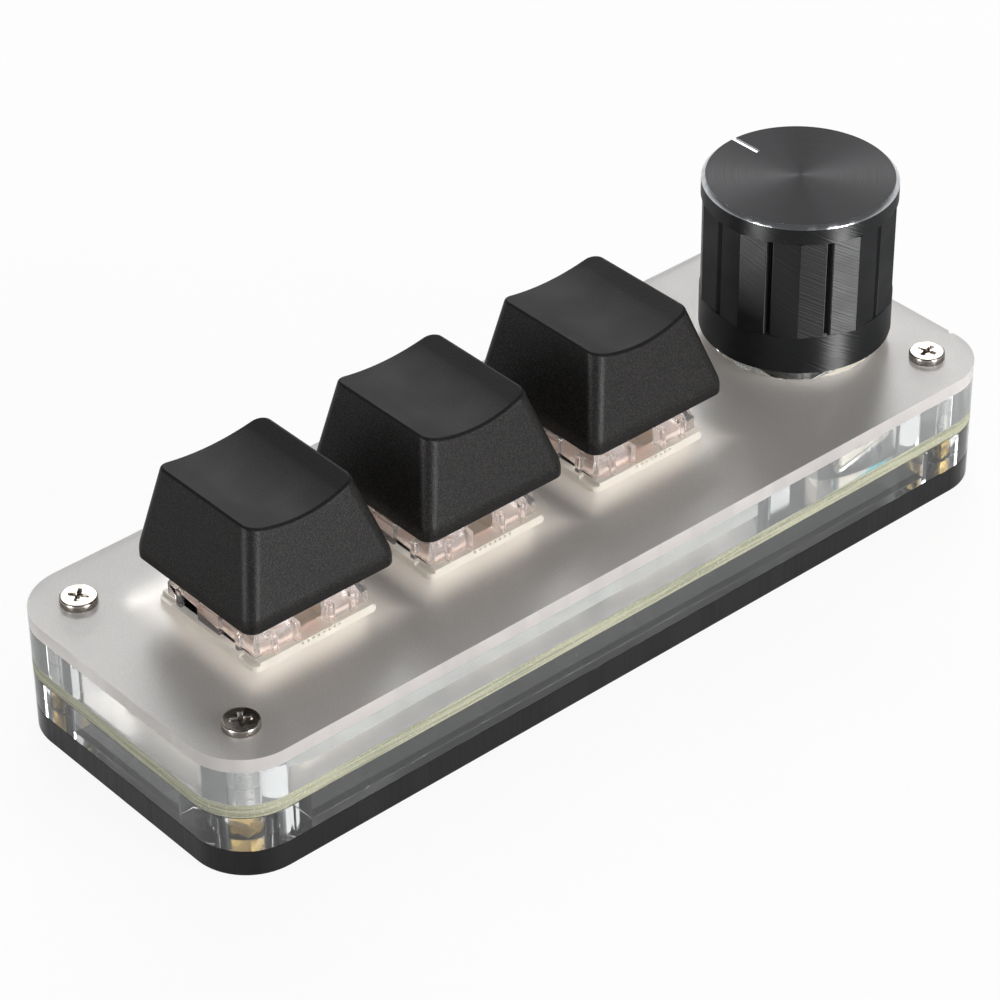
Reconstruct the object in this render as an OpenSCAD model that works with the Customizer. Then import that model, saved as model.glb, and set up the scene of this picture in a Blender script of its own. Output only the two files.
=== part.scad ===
// Macro keypad: three mechanical keys and one push dial on a board between
// laser-cut plates, held together by screws and standoffs at the four corners.
// The row of keys runs along X, the front faces -Y, and the origin is at the
// centre of the footprint on the table.

/* [Case] */
// Length of the case along the row of keys
case_l = 105; // [98:0.5:130]
// Depth of the case, front to back
case_w = 37; // [34:0.5:50]
// Radius of the upright corners
corner_r = 6.4; // [3:0.1:9]
// Thickness of the black base plate
base_t = 3; // [2:0.1:5]
// Height of the clear spacer between base and board
spacer_h = 4.2; // [4:0.1:8]
// Width of the spacer's wall
spacer_wall = 2.2; // [1.6:0.1:3]
// Side of the spacer's solid corners
spacer_pad = 10; // [9:0.5:12]
// Thickness of the circuit board
board_t = 1.6; // [1:0.1:2]
// Height of the clear frame between board and top plate
frame_h = 4; // [3.9:0.1:6]
// Thickness of the frosted top plate
plate_t = 1.6; // [1.2:0.1:2]
// Gap from the frame's window to the centre line of an end key
window_side = 10.9; // [9:0.1:11]
// Width of the frame's window, front to back
window_w = 27; // [20:0.5:28]
// Corner radius of the frame's window
window_r = 4; // [1:0.5:6]

/* [Screws] */
// From the case's edges to each screw's axis
screw_inset = 5.5; // [4.5:0.1:5.5]
// Thread diameter of the screws
screw_d = 2; // [1.6:0.1:2.4]
// Diameter of the thin screw heads
head_d = 3.9; // [3.4:0.1:4.4]
// Height of the screw heads
head_h = 0.8; // [0.6:0.1:1.2]
// Depth that a top screw reaches into its standoff
top_bite = 2.4; // [1.2:0.1:2.4]
// Depth that a base screw reaches into its standoff
base_bite = 1.4; // [1:0.1:1.4]
// Distance across the flats of the brass standoffs
standoff_w = 3.4; // [3.2:0.1:3.8]

/* [Keys] */
// From the left end of the case to the first key's axis
first_key = 19.1; // [18:0.1:21]
// Distance between two keys
key_pitch = 22.2; // [19.6:0.1:22.6]
// Side of a keycap's square base
cap_w = 18.4; // [17.8:0.1:18.8]
// Width of a keycap's top, along the row
cap_top_x = 12.8; // [11.6:0.1:13.5]
// Depth of a keycap's top, front to back
cap_top_y = 14.1; // [13:0.1:15]
// Distance that a keycap's top is set back from its base
cap_set_back = 0.7; // [0:0.1:1]
// Height of a keycap
cap_h = 10; // [9.4:0.1:12]
// Height of the upright band round a keycap's foot
cap_skirt = 1.2; // [0.6:0.1:1.6]
// Wall of a keycap
cap_wall = 1.3; // [1:0.1:1.5]
// Corner radius at a keycap's foot
cap_foot_r = 1.3; // [0.8:0.1:2.5]
// Corner radius at a keycap's top
cap_top_r = 1.3; // [0.8:0.1:2.5]
// Depth of the hollow in a keycap's top
dish_depth = 1.2; // [0.4:0.1:1.6]
// Height of a keycap's foot above the top plate, at rest
cap_lift = 5.9; // [5.6:0.1:6.4]
// Diameter of the round post inside a keycap
post_d = 5.5; // [5.2:0.1:5.7]

/* [Switches] */
// Side of the square hole for a switch in the top plate
switch_hole = 14; // [13.9:0.1:14.2]
// Side of a switch's flange
flange_w = 15.6; // [15:0.1:16]
// Thickness of a switch's flange
flange_t = 1; // [0.8:0.1:1.2]
// Depth of a switch's body below the top of the plate
body_depth = 5; // [4.8:0.1:5.2]
// Wall of a switch's lower housing
housing_wall = 1.1; // [0.9:0.1:1.2]
// Height of a switch's cover above the top of the plate
cover_h = 6.6; // [6.4:0.1:6.8]
// Width of the cover's roof, along the row
cover_top_x = 10.6; // [10.4:0.1:11]
// Depth of the cover's roof, front to back
cover_top_y = 10.8; // [10.4:0.1:11]
// Wall of a switch's cover
cover_wall = 0.8; // [0.7:0.1:0.9]
// Width of the light slot in the front of a switch's cover
slot_w = 3.6; // [3:0.1:4]
// Height of the light slot
slot_h = 2.6; // [1.5:0.1:2.8]
// Travel of a key
key_travel = 4; // [3:0.1:4]
// Height of the cross on top of a stem
cross_h = 3.6; // [3:0.1:3.8]
// Length of the cross's arms
cross_l = 4; // [3.8:0.1:4.1]
// Thickness of the cross's arm that runs along the row
cross_arm_x = 1.1; // [1:0.1:1.2]
// Thickness of the cross's arm that runs front to back
cross_arm_y = 1.3; // [1.1:0.1:1.4]
// Diameter of the guide pole under a stem
pole_d = 2.5; // [2.2:0.1:2.5]
// Diameter of the round boss under a switch
boss_d = 3.9; // [3.8:0.05:4.1]
// Length of the boss below the switch's body
boss_l = 3.3; // [3.2:0.1:3.5]
// Diameter of the spring's wire
wire_d = 0.3; // [0.2:0.05:0.35]
// Number of curls in a key's spring
spring_curls = 8; // [6:1:9]

/* [Dial] */
// From the right end of the case to the dial's axis
knob_inset = 12.8; // [12:0.1:14]
// Largest diameter of the knob, over the ridges
knob_d = 21.4; // [20:0.1:22]
// Height of the knob
knob_h = 18.5; // [16:0.1:20]
// Gap between knob and top plate
knob_gap = 1.5; // [1:0.1:3]
// Diameter of the knob's lower band
knob_foot_d = 20.9; // [19:0.1:21]
// Height of the knob's lower band
knob_foot_h = 4.6; // [3:0.1:6]
// Height of the knob's upper band, with its bright edge
knob_rim_h = 2.2; // [1.5:0.1:3]
// Width of the bright bevel round the knob's top
knob_bevel = 0.55; // [0.3:0.05:1]
// Number of grooves round the knob
knob_grooves = 12; // [8:1:16]
// Depth of the grooves, from the ridges
knob_groove_depth = 0.9; // [0.5:0.1:1.2]
// Length of the milled mark on the knob
mark_l = 3.7; // [2:0.1:6]
// Width of the milled mark on the knob
mark_w = 0.9; // [0.4:0.1:1]
// Diameter of the hole for the encoder in the plates
dial_hole = 18.3; // [17.9:0.1:19]

/* [Encoder] */
// Side of the encoder's square bracket
encoder_w = 12.4; // [11.8:0.1:12.4]
// Height of the encoder's body above the board
encoder_h = 4.1; // [4:0.1:4.4]
// Thickness of the encoder's steel bracket
bracket_t = 0.5; // [0.3:0.1:0.6]
// Diameter of the encoder's shaft
shaft_d = 6; // [5.8:0.1:6.2]
// Height of the shaft above the bracket
shaft_h = 15; // [12:0.5:16]
// Diameter of the encoder's bushing
bushing_d = 7; // [6.8:0.1:7.6]
// Height of the bushing above the bracket
bushing_h = 5; // [3.6:0.1:5.2]
// Travel of the dial's push switch
push_travel = 0.5; // [0.3:0.1:0.5]
// Diameter of the knob's grub screw
grub_d = 3; // [2:0.5:3]
// Length of the knob's grub screw
grub_l = 5; // [4:0.5:7]

/* [Socket] */
// From the case's centre to the socket's centre, along the back
socket_x = 0; // [-12:0.5:16]
// Width of the socket's shell
socket_w = 8.94; // [8.9:0.01:9.2]
// Height of the socket's shell
socket_h = 3.2; // [3.1:0.05:3.3]
// Length of the socket's shell
socket_l = 7.3; // [6.5:0.1:8]

/* [Hidden] */
$fn = 64;

// Cross recess of a screw: length and width of its arms, and the head left below it
recess_l = 2.2;
recess_w = 0.52;
recess_z = 0.32;

// Clearances: round a screw, round a sliding piece, in a running fit,
// between pieces of one body, and above a piece that moves down
screw_gap = 0.1;
slide_gap = 0.2;
run_gap = 0.05;
seat_gap = 0.05;
rest_gap = 0.1;
// Depth that a cut runs past the face it opens
cut = 1;
// Thickness of the slices that a hull joins
slice = 0.01;

// Heights of the stack's faces above the table
board_z = base_t + spacer_h;
board_top = board_z + board_t;
plate_z = board_top + frame_h;
plate_top = plate_z + plate_t;

// Places of the keys and the dial
key_count = 3;
knob_x = case_l / 2 - knob_inset;
function key_x(i) = -case_l / 2 + first_key + i * key_pitch;
function corner_sign(i) = [i % 2 == 0 ? -1 : 1, i < 2 ? -1 : 1];
function screw_at(i) = [corner_sign(i)[0] * (case_l / 2 - screw_inset),
    corner_sign(i)[1] * (case_w / 2 - screw_inset)];

// Frame window round the row of keys
window_l = (key_count - 1) * key_pitch + 2 * window_side;
window_x = (key_x(0) + key_x(key_count - 1)) / 2;

// Switch, with heights above the top of the plate
body_w = switch_hole - 2 * seat_gap;
body_in = body_w - 2 * housing_wall;
floor_t = 1.2;
floor_z = floor_t - body_depth;
boss_z = -body_depth - boss_l;
boss_floor = 0.7;
clip_w = 3.6;
clip_out = 0.35;
clip_h = 1;
roof_z = cover_h - cover_wall;
cover_w = flange_w - 1.6;
cover_skirt = 1.4;
opening_x = 7.4;
opening_y = 6.2;
stem_x = opening_x - 2 * slide_gap;
stem_y = opening_y - 2 * slide_gap;
shoulder_x = 9;
shoulder_y = 7.4;
shoulder_top = roof_z - rest_gap;
shoulder_z = shoulder_top - 4.2;
pocket_d = 5.4;
pocket_z = shoulder_top - 0.6;
pole_z = -3;
riser_d = 3.6;
riser_z = -1.8;
bore_d = pole_d + 4 * run_gap;
spring_r = riser_d / 2 + slide_gap + wire_d / 2;
spring_rings = 8;
spring_sides = 6;

// Contacts of a switch: places of the two pins, and sizes of their strips
pin_at = [[-3.81, 2.54], [2.54, 5.08]];
strip_w = 1;
strip_t = 0.3;
leaf_y = 4.6;
leaf_top = 2;
pin_hole_d = 1.5;

// Keycap, with heights above its foot
cap_roof = cap_h - dish_depth - cap_wall;
dish_r = (cap_top_x * cap_top_x / 4 + dish_depth * dish_depth) / (2 * dish_depth);
post_z = cover_h + seat_gap - cap_lift;
cross_top = cover_h + cross_h - cap_lift;
cap_inner_r = 0.8;

// Encoder, with heights above the table
bracket_top = board_top + encoder_h;
bracket_z = bracket_top - bracket_t;
encoder_body_w = encoder_w - 2 * bracket_t - 2 * rest_gap;
encoder_body_y = encoder_w - 0.6;
rotor_d = 10;
rotor_t = 1;
rotor_z = bracket_z - rotor_t - slide_gap;
ledge_z = rotor_z - rest_gap;
dome_room_d = 7.6;
dome_d = 6;
dome_h = 0.8;
dome_z = board_top + 0.8;
tail_d = 3.6;
tail_w = 3;
tail_z = dome_z + dome_h + rest_gap;
bracket_leg_w = 6;
tab_w = 2;
tab_below = 0.6;
terminal_w = 0.8;
terminal_t = 0.3;
terminal_out = 1.3;
terminal_pitch = 2.5;
terminal_hole_d = 1.1;
bushing_foot_d = 9;
bushing_foot_h = 0.6;
flat_depth = 1.5;
flat_l = 10;

// Knob, with heights above its foot
knob_z = plate_top + knob_gap;
knob_top = knob_z + knob_h;
knob_room_d = 12;
knob_room_h = bracket_top + bushing_h + push_travel + slide_gap + rest_gap - knob_z;
shaft_top = bracket_top + shaft_h;
knob_bore_h = shaft_top + rest_gap - knob_z;
knob_rim_d = knob_d - 0.3;
grub_z = knob_foot_h + 0.6;
// Half the angle of a groove, how far a ridge's edges lie below its middle
// line, and the angle that the first groove stands at
groove_half = 2.2;
shoulder_drop = 0.35;
knob_turn = 214;
hex_w = 1.5;
hex_depth = 1.5;
mark_depth = 0.2;

// Socket and chips under the board
socket_wall = 0.3;
socket_in = 0.3;
tongue_w = 6.7;
tongue_t = 0.7;
tongue_l = 4.6;
tongue_back = 0.6;
chip_l = 9.9;
chip_w = 3.9;
chip_t = 1.5;
chip_legs = 8;
chip_pitch = 1.27;
chip_y = -8.5;
leg_w = 0.4;
leg_l = 1;
leg_t = 0.3;
part_l = 1.6;
part_w = 0.8;
part_t = 0.7;
part_x = 5.5;
part_y = -7;

// Lead-in mark of the laser in the top plate's right end
nick_d = 0.6;
nick_y = -11.4;

module rounded(l, w, r) {
    square([l - 2 * r, w], center = true);
    square([l, w - 2 * r], center = true);
    for (sx = [-1, 1], sy = [-1, 1])
        translate([sx * (l / 2 - r), sy * (w / 2 - r)]) circle(r);
}

module outline() rounded(case_l, case_w, corner_r);

module at_screws() for (i = [0:3]) translate(screw_at(i)) children();

module at_keys() for (i = [0:key_count - 1]) translate([key_x(i), 0]) children();

module screw_holes() at_screws() circle(d = screw_d + 2 * screw_gap);

// Base plate with counterbores for the screw heads from below
module base_plate() {
    color([0.05, 0.05, 0.06])
    difference() {
        linear_extrude(base_t)
            difference() {
                outline();
                screw_holes();
            }
        at_screws() translate([0, 0, -cut])
            cylinder(d = head_d + 2 * screw_gap, h = head_h + screw_gap + cut);
    }
}

// Spacer with thin walls, solid corners for the standoffs and a slot for the socket
module spacer_frame() {
    hole_d = standoff_w / cos(30) + 2 * screw_gap;
    inner_r = corner_r - spacer_wall;
    slot_w = socket_w + 4 * screw_gap;
    color([0.8, 0.82, 0.82, 0.45])
    translate([0, 0, base_t])
    linear_extrude(spacer_h)
        difference() {
            outline();
            difference() {
                rounded(case_l - 2 * spacer_wall, case_w - 2 * spacer_wall, inner_r);
                for (i = [0:3])
                    translate([corner_sign(i)[0] * (case_l - spacer_pad) / 2,
                        corner_sign(i)[1] * (case_w - spacer_pad) / 2])
                        rounded(spacer_pad, spacer_pad, 2);
            }
            at_screws() circle(d = hole_d);
            translate([socket_x - slot_w / 2, case_w / 2 - spacer_wall - cut])
                square([slot_w, spacer_wall + 2 * cut]);
        }
}

// Board with holes for the screws, the switches and the encoder
module circuit_board() {
    color([0.62, 0.66, 0.42])
    translate([0, 0, board_z])
    linear_extrude(board_t)
        difference() {
            outline();
            screw_holes();
            at_keys() circle(d = boss_d + 4 * run_gap);
            at_keys() for (p = pin_at) translate(p) circle(d = pin_hole_d);
            translate([knob_x, 0]) {
                for (s = [-1, 1])
                    translate([s * (encoder_w - bracket_t) / 2, 0])
                        square([bracket_t + 4 * screw_gap, tab_w + 4 * screw_gap], center = true);
                for (p = terminal_at()) translate(p) circle(d = terminal_hole_d);
            }
        }
}

// Clear frame with one window for the keys and a round hole for the encoder
module switch_frame() {
    color([0.88, 0.9, 0.9, 0.45])
    translate([0, 0, board_top])
    linear_extrude(frame_h)
        difference() {
            outline();
            screw_holes();
            translate([window_x, 0]) rounded(window_l, window_w, window_r);
            translate([knob_x, 0]) circle(d = dial_hole);
        }
}

// Frosted plate that the switches clip into
module top_plate() {
    color([0.72, 0.72, 0.72, 0.8])
    translate([0, 0, plate_z])
    linear_extrude(plate_t)
        difference() {
            outline();
            screw_holes();
            at_keys() square(switch_hole, center = true);
            translate([knob_x, 0]) circle(d = dial_hole);
            translate([case_l / 2, nick_y]) circle(d = nick_d);
        }
}

module standoff(i) {
    color("goldenrod")
    translate([screw_at(i)[0], screw_at(i)[1], base_t])
    difference() {
        cylinder(d = standoff_w / cos(30), h = spacer_h, $fn = 6);
        translate([0, 0, -cut]) cylinder(d = screw_d + 2 * run_gap, h = spacer_h + 2 * cut);
    }
}

// Screw with a thin flat head on z = 0, its thread going down, and a cross recess
module screw(l) {
    difference() {
        union() {
            cylinder(d = head_d, h = head_h);
            translate([0, 0, -l]) cylinder(d = screw_d, h = l);
        }
        for (turn = [0, 90])
            rotate(turn)
            translate([-recess_l / 2, -recess_w / 2, recess_z])
                cube([recess_l, recess_w, head_h]);
    }
}

module top_screw(i) {
    color("silver")
    translate([screw_at(i)[0], screw_at(i)[1], plate_top])
    rotate(20 + 35 * i)
        screw(plate_t + frame_h + board_t + top_bite);
}

module base_screw(i) {
    color("silver")
    translate([screw_at(i)[0], screw_at(i)[1], head_h + screw_gap])
    rotate([180, 0, 0])
        screw(base_t - head_h - screw_gap + base_bite);
}

module at_key(i) translate([key_x(i), 0, plate_top]) children();

// Lower housing: flange on the plate, clips below it, a tube for the pole and a boss
module switch_base(i) {
    color([0.96, 0.92, 0.84])
    at_key(i)
    difference() {
        union() {
            linear_extrude(flange_t) rounded(flange_w, flange_w, 0.8);
            translate([0, 0, -body_depth]) linear_extrude(body_depth) rounded(body_w, body_w, 0.5);
            translate([0, 0, boss_z]) cylinder(d = boss_d, h = boss_l + floor_t);
            for (turn = [0, 180])
                rotate(turn)
                translate([-clip_w / 2, 0, -plate_t - seat_gap - clip_h])
                    cube([clip_w, body_w / 2 + clip_out, clip_h]);
        }
        difference() {
            translate([0, 0, floor_z])
                linear_extrude(body_depth + flange_t + cut) rounded(body_in, body_in, 0.5);
            cylinder_between(riser_d, boss_z, riser_z);
        }
        cylinder_between(bore_d, boss_z + boss_floor, riser_z + cut);
        for (p = pin_at)
            translate([p[0], p[1], -body_depth - cut])
                linear_extrude(floor_t + 2 * cut)
                square([strip_w + 4 * run_gap, strip_t + 4 * run_gap], center = true);
    }
}

module cylinder_between(d, z0, z1) translate([0, 0, z0]) cylinder(d = d, h = z1 - z0);

// Solid with upright sides to z1 and sloping sides from there to z2
module tapered(w, top_x, top_y, z0, z1, z2) {
    intersection() {
        rotate([90, 0, 0]) linear_extrude(w, center = true) side_profile(w, top_x, z0, z1, z2);
        rotate([90, 0, 90]) linear_extrude(w, center = true) side_profile(w, top_y, z0, z1, z2);
    }
}

module side_profile(w, top, z0, z1, z2) {
    polygon([[-w / 2, z0], [w / 2, z0], [w / 2, z1], [top / 2, z2], [-top / 2, z2], [-w / 2, z1]]);
}

// Clear upper housing with the opening for the stem and a light slot in front
module switch_cover(i) {
    color([0.95, 0.9, 0.88, 0.5])
    at_key(i)
    difference() {
        tapered(cover_w, cover_top_x, cover_top_y, flange_t, flange_t + cover_skirt, cover_h);
        tapered(cover_w - 2 * cover_wall, cover_top_x - 2 * cover_wall, cover_top_y - 2 * cover_wall,
            flange_t - cut, flange_t + cover_skirt, roof_z);
        translate([-opening_x / 2, -opening_y / 2, roof_z - cut])
            cube([opening_x, opening_y, cover_wall + 2 * cut]);
        translate([-slot_w / 2, -cover_w / 2 - cut, flange_t - cut])
            cube([slot_w, cut + cover_w / 4, slot_h + cut]);
    }
}

// Fixed contact and leaf, each a strip that ends in a pin under the board
module switch_contacts(i) {
    foot_y = leaf_y - strip_t / 2;
    color([0.8, 0.55, 0.3])
    at_key(i) {
        translate([pin_at[0][0], pin_at[0][1], boss_z])
            linear_extrude(floor_z - boss_z + strip_t)
            square([strip_w, strip_t], center = true);
        translate([pin_at[0][0] - strip_w / 2, pin_at[0][1], floor_z + seat_gap])
            cube([strip_w, foot_y - pin_at[0][1], strip_t]);
        translate([pin_at[0][0] - strip_w / 2, foot_y, floor_z + seat_gap])
            cube([strip_w, strip_t, leaf_top - floor_z]);
        translate([pin_at[1][0], pin_at[1][1], boss_z])
            linear_extrude(leaf_top - boss_z)
            square([strip_w, strip_t], center = true);
    }
}

// Stem: cross, block in the opening, hollow shoulder and guide pole
module switch_stem(i) {
    color([0.72, 0.36, 0.16])
    at_key(i) {
        difference() {
            union() {
                box_between(shoulder_x, shoulder_y, shoulder_z, shoulder_top);
                box_between(stem_x, stem_y, shoulder_top - cut, cover_h);
                box_between(cross_l, cross_arm_x, cover_h - cut, cover_h + cross_h);
                box_between(cross_arm_y, cross_l, cover_h - cut, cover_h + cross_h);
            }
            cylinder_between(pocket_d, shoulder_z - cut, pocket_z);
        }
        cylinder_between(pole_d, pole_z, pocket_z + slice);
    }
}

module box_between(x, y, z0, z1) translate([-x / 2, -y / 2, z0]) cube([x, y, z1 - z0]);

// Centre line of a key's spring, and the ring of points round one of its places
function spring_point(k) =
    let (turn = 360 * k / spring_rings,
        low = floor_z + seat_gap + wire_d / 2,
        high = pocket_z - seat_gap - wire_d / 2)
    [spring_r * cos(turn), spring_r * sin(turn),
        low + (high - low) * k / (spring_curls * spring_rings)];
function spring_ring(k) =
    let (turn = 360 * k / spring_rings, p = spring_point(k))
    [for (j = [0:spring_sides - 1])
        let (a = 360 * j / spring_sides)
        p + wire_d / 2 * [cos(a) * cos(turn), cos(a) * sin(turn), sin(a)]];
spring_last = spring_curls * spring_rings;
spring_least_gap = min([for (a = [0:spring_last], b = [a + spring_rings / 2:spring_last])
    norm(spring_point(a) - spring_point(b)) - wire_d]);
echo(spring_least_gap = spring_least_gap);

module switch_spring(i) {
    last = spring_last * spring_sides;
    color([0.75, 0.76, 0.78])
    at_key(i)
    polyhedron(
        points = [for (k = [0:spring_last]) each spring_ring(k)],
        faces = concat(
            [[for (j = [0:spring_sides - 1]) j]],
            [for (k = [0:spring_last - 1], j = [0:spring_sides - 1])
                let (a = k * spring_sides, n = (j + 1) % spring_sides)
                each [[a + j, a + spring_sides + j, a + n],
                    [a + n, a + spring_sides + j, a + spring_sides + n]]],
            [[for (j = [spring_sides - 1:-1:0]) last + j]]),
        convexity = 10);
}

module slice_at(x, y, r, z, back) translate([0, back, z]) linear_extrude(slice) rounded(x, y, r, $fn = 32);

// Keycap: sloping shell with a hollowed top and a post that takes the stem's cross
module keycap(i) {
    color([0.13, 0.13, 0.14])
    at_key(i)
    translate([0, 0, cap_lift])
    difference() {
        union() {
            difference() {
                hull() {
                    slice_at(cap_w, cap_w, cap_foot_r, 0, 0);
                    slice_at(cap_w, cap_w, cap_foot_r, cap_skirt, 0);
                    slice_at(cap_top_x, cap_top_y, cap_top_r, cap_h - slice, cap_set_back);
                }
                hull() {
                    slice_at(cap_w - 2 * cap_wall, cap_w - 2 * cap_wall, cap_inner_r, -cut, 0);
                    slice_at(cap_w - 2 * cap_wall, cap_w - 2 * cap_wall, cap_inner_r, cap_skirt, 0);
                    slice_at(cap_top_x - 2 * cap_wall, cap_top_y - 2 * cap_wall, cap_inner_r,
                        cap_roof - slice, cap_set_back);
                }
            }
            cylinder_between(post_d, post_z, cap_roof + slice);
        }
        translate([0, 0, post_z - cut]) linear_extrude(cross_top + rest_gap - post_z + cut) {
            square([cross_l + 2 * seat_gap, cross_arm_x + 2 * seat_gap], center = true);
            square([cross_arm_y + 2 * seat_gap, cross_l + 2 * seat_gap], center = true);
        }
        translate([0, 0, cap_h - dish_depth + dish_r])
            rotate([90, 0, 0]) cylinder(r = dish_r, h = 2 * cap_w, center = true, $fn = 96);
    }
}

module at_dial(z) translate([knob_x, 0, z]) children();

// Plastic body of the encoder: ledge for the rotor and a well for the dome
module encoder_base() {
    color([0.1, 0.5, 0.52])
    difference() {
        at_dial(board_top) linear_extrude(bracket_z - board_top)
            rounded(encoder_body_w, encoder_body_y, 0.5);
        at_dial(ledge_z) cylinder(d = rotor_d + 2 * slide_gap, h = bracket_z - ledge_z + cut);
        at_dial(dome_z) cylinder(d = dome_room_d, h = bracket_z - dome_z);
    }
}

// Steel bracket over the encoder, with legs and tabs through the board
module encoder_bracket() {
    color([0.7, 0.71, 0.72])
    at_dial(0) {
        difference() {
            translate([0, 0, bracket_z]) linear_extrude(bracket_t) rounded(encoder_w, encoder_w, 1);
            cylinder_between(shaft_d + 2 * slide_gap, bracket_z - cut, bracket_top + cut);
        }
        for (s = [-1, 1])
            translate([s * (encoder_w - bracket_t) / 2, 0, 0]) {
                box_between(bracket_t, bracket_leg_w, board_top, bracket_z + slice);
                box_between(bracket_t, tab_w, board_z - tab_below, board_top + slice);
            }
    }
}

// Places where the encoder's five terminals go through the board
function terminal_at() =
    let (y = encoder_body_y / 2 + terminal_out - terminal_t / 2)
    concat([for (k = [-1:1]) [k * terminal_pitch, -y]],
        [for (k = [-1, 1]) [k * terminal_pitch, y]]);

module encoder_terminals() {
    color([0.8, 0.8, 0.78])
    at_dial(0)
    for (p = terminal_at()) {
        s = sign(p[1]);
        side = encoder_body_y / 2;
        translate([p[0] - terminal_w / 2, s > 0 ? side : -side - terminal_out, board_top + rest_gap])
            cube([terminal_w, terminal_out, terminal_t]);
        translate([p[0], p[1], 0])
            box_between(terminal_w, terminal_t, board_z - tab_below, board_top + rest_gap + slice);
    }
}

module encoder_bushing() {
    color([0.68, 0.68, 0.7])
    at_dial(bracket_top)
    difference() {
        union() {
            cylinder(d = bushing_foot_d, h = bushing_foot_h);
            cylinder(d = bushing_d, h = bushing_h);
        }
        translate([0, 0, -cut]) cylinder(d = shaft_d + 2 * run_gap, h = bushing_h + 2 * cut);
    }
}

// Domed disc of the push switch
module encoder_dome() {
    dome_r = (dome_d * dome_d / 4 + dome_h * dome_h) / (2 * dome_h);
    color([0.78, 0.78, 0.76])
    at_dial(dome_z + seat_gap)
    rotate_extrude()
        intersection() {
            translate([0, dome_h - seat_gap - dome_r]) circle(dome_r, $fn = 180);
            square([dome_d / 2, dome_h]);
        }
}

// Outline of the shaft's flattened tail, grown by a gap
module tail_outline(gap) {
    intersection() {
        circle(d = tail_d + 2 * gap);
        square([tail_w + 2 * gap, tail_d + 2 * gap + cut], center = true);
    }
}

module encoder_rotor() {
    color([0.25, 0.25, 0.26])
    at_dial(rotor_z) linear_extrude(rotor_t)
        difference() {
            circle(d = rotor_d);
            tail_outline(run_gap);
        }
}

// Shaft with a flat for the grub screw and a tail that slides in the rotor
module encoder_shaft() {
    color([0.8, 0.8, 0.82])
    at_dial(0) {
        difference() {
            cylinder_between(shaft_d, bracket_top, shaft_top);
            translate([-shaft_d / 2 - cut, shaft_d / 2 - flat_depth, shaft_top - flat_l])
                cube([shaft_d + 2 * cut, flat_depth + cut, flat_l + cut]);
        }
        translate([0, 0, tail_z]) linear_extrude(bracket_top + slice - tail_z) tail_outline(0);
    }
}

// One ridge between two grooves, as points of the knob's outline
function ridge_points(k) =
    let (step = 360 / knob_grooves, a = k * step, r = knob_d / 2)
    [(r - knob_groove_depth) * [cos(a), sin(a)],
        (r - shoulder_drop) * [cos(a + groove_half), sin(a + groove_half)],
        r * [cos(a + step / 2), sin(a + step / 2)],
        (r - shoulder_drop) * [cos(a + step - groove_half), sin(a + step - groove_half)]];

// Turned knob with a ridged grip, a bevelled rim and a milled mark
module knob() {
    grip_h = knob_h - knob_foot_h - knob_rim_h;
    color([0.08, 0.08, 0.09])
    at_dial(knob_z)
    difference() {
        union() {
            cylinder(d = knob_foot_d, h = knob_foot_h + slice);
            rotate(knob_turn)
            translate([0, 0, knob_foot_h])
                linear_extrude(grip_h) polygon([for (k = [0:knob_grooves - 1]) each ridge_points(k)]);
            rotate_extrude()
                polygon([[0, knob_h - knob_rim_h - slice], [knob_rim_d / 2, knob_h - knob_rim_h - slice],
                    [knob_rim_d / 2, knob_h - knob_bevel], [knob_rim_d / 2 - knob_bevel, knob_h],
                    [0, knob_h]]);
        }
        translate([0, 0, -cut]) cylinder(d = knob_room_d, h = knob_room_h + cut);
        cylinder(d = shaft_d + 2 * run_gap, h = knob_bore_h);
        translate([0, 0, grub_z]) rotate([-90, 0, 0]) cylinder(d = grub_d + 2 * run_gap, h = knob_d);
        translate([-mark_w / 2, knob_rim_d / 2 - knob_bevel - mark_l, knob_h - mark_depth])
            cube([mark_w, mark_l + 2 * cut, mark_depth + cut]);
    }
}

// Grub screw that bears on the shaft's flat, with a hexagon socket outside
module grub_screw() {
    color([0.2, 0.2, 0.2])
    at_dial(knob_z + grub_z)
    translate([0, shaft_d / 2 - flat_depth + seat_gap, 0])
    rotate([-90, 0, 0])
    difference() {
        cylinder(d = grub_d, h = grub_l);
        translate([0, 0, grub_l - hex_depth])
            cylinder(d = hex_w / cos(30), h = hex_depth + cut, $fn = 6);
    }
}

module stadium(w, h, l) {
    rotate([90, 0, 0])
    linear_extrude(l) {
        square([w - h, h], center = true);
        for (s = [-1, 1]) translate([s * (w - h) / 2, 0]) circle(d = h);
    }
}

module at_socket() translate([socket_x, case_w / 2 - socket_in, board_z - socket_h / 2]) children();

// Stamped shell of the socket, open at the back of the case
module socket_shell() {
    color([0.75, 0.76, 0.78])
    at_socket()
    difference() {
        stadium(socket_w, socket_h, socket_l);
        translate([0, cut, 0])
            stadium(socket_w - 2 * socket_wall, socket_h - 2 * socket_wall, socket_l - socket_wall + cut);
    }
}

// Plastic tongue of the socket, on a block at the shell's back
module socket_tongue() {
    block_l = socket_l - socket_wall - tongue_l - tongue_back;
    color([0.1, 0.1, 0.1])
    at_socket()
    union() {
        translate([0, -tongue_back, 0])
            rotate([90, 0, 0]) linear_extrude(tongue_l + slice) square([tongue_w, tongue_t], center = true);
        translate([0, -tongue_back - tongue_l, 0])
            stadium(socket_w - 2 * socket_wall - 2 * seat_gap, socket_h - 2 * socket_wall - 2 * seat_gap,
                block_l - seat_gap);
    }
}

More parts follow.
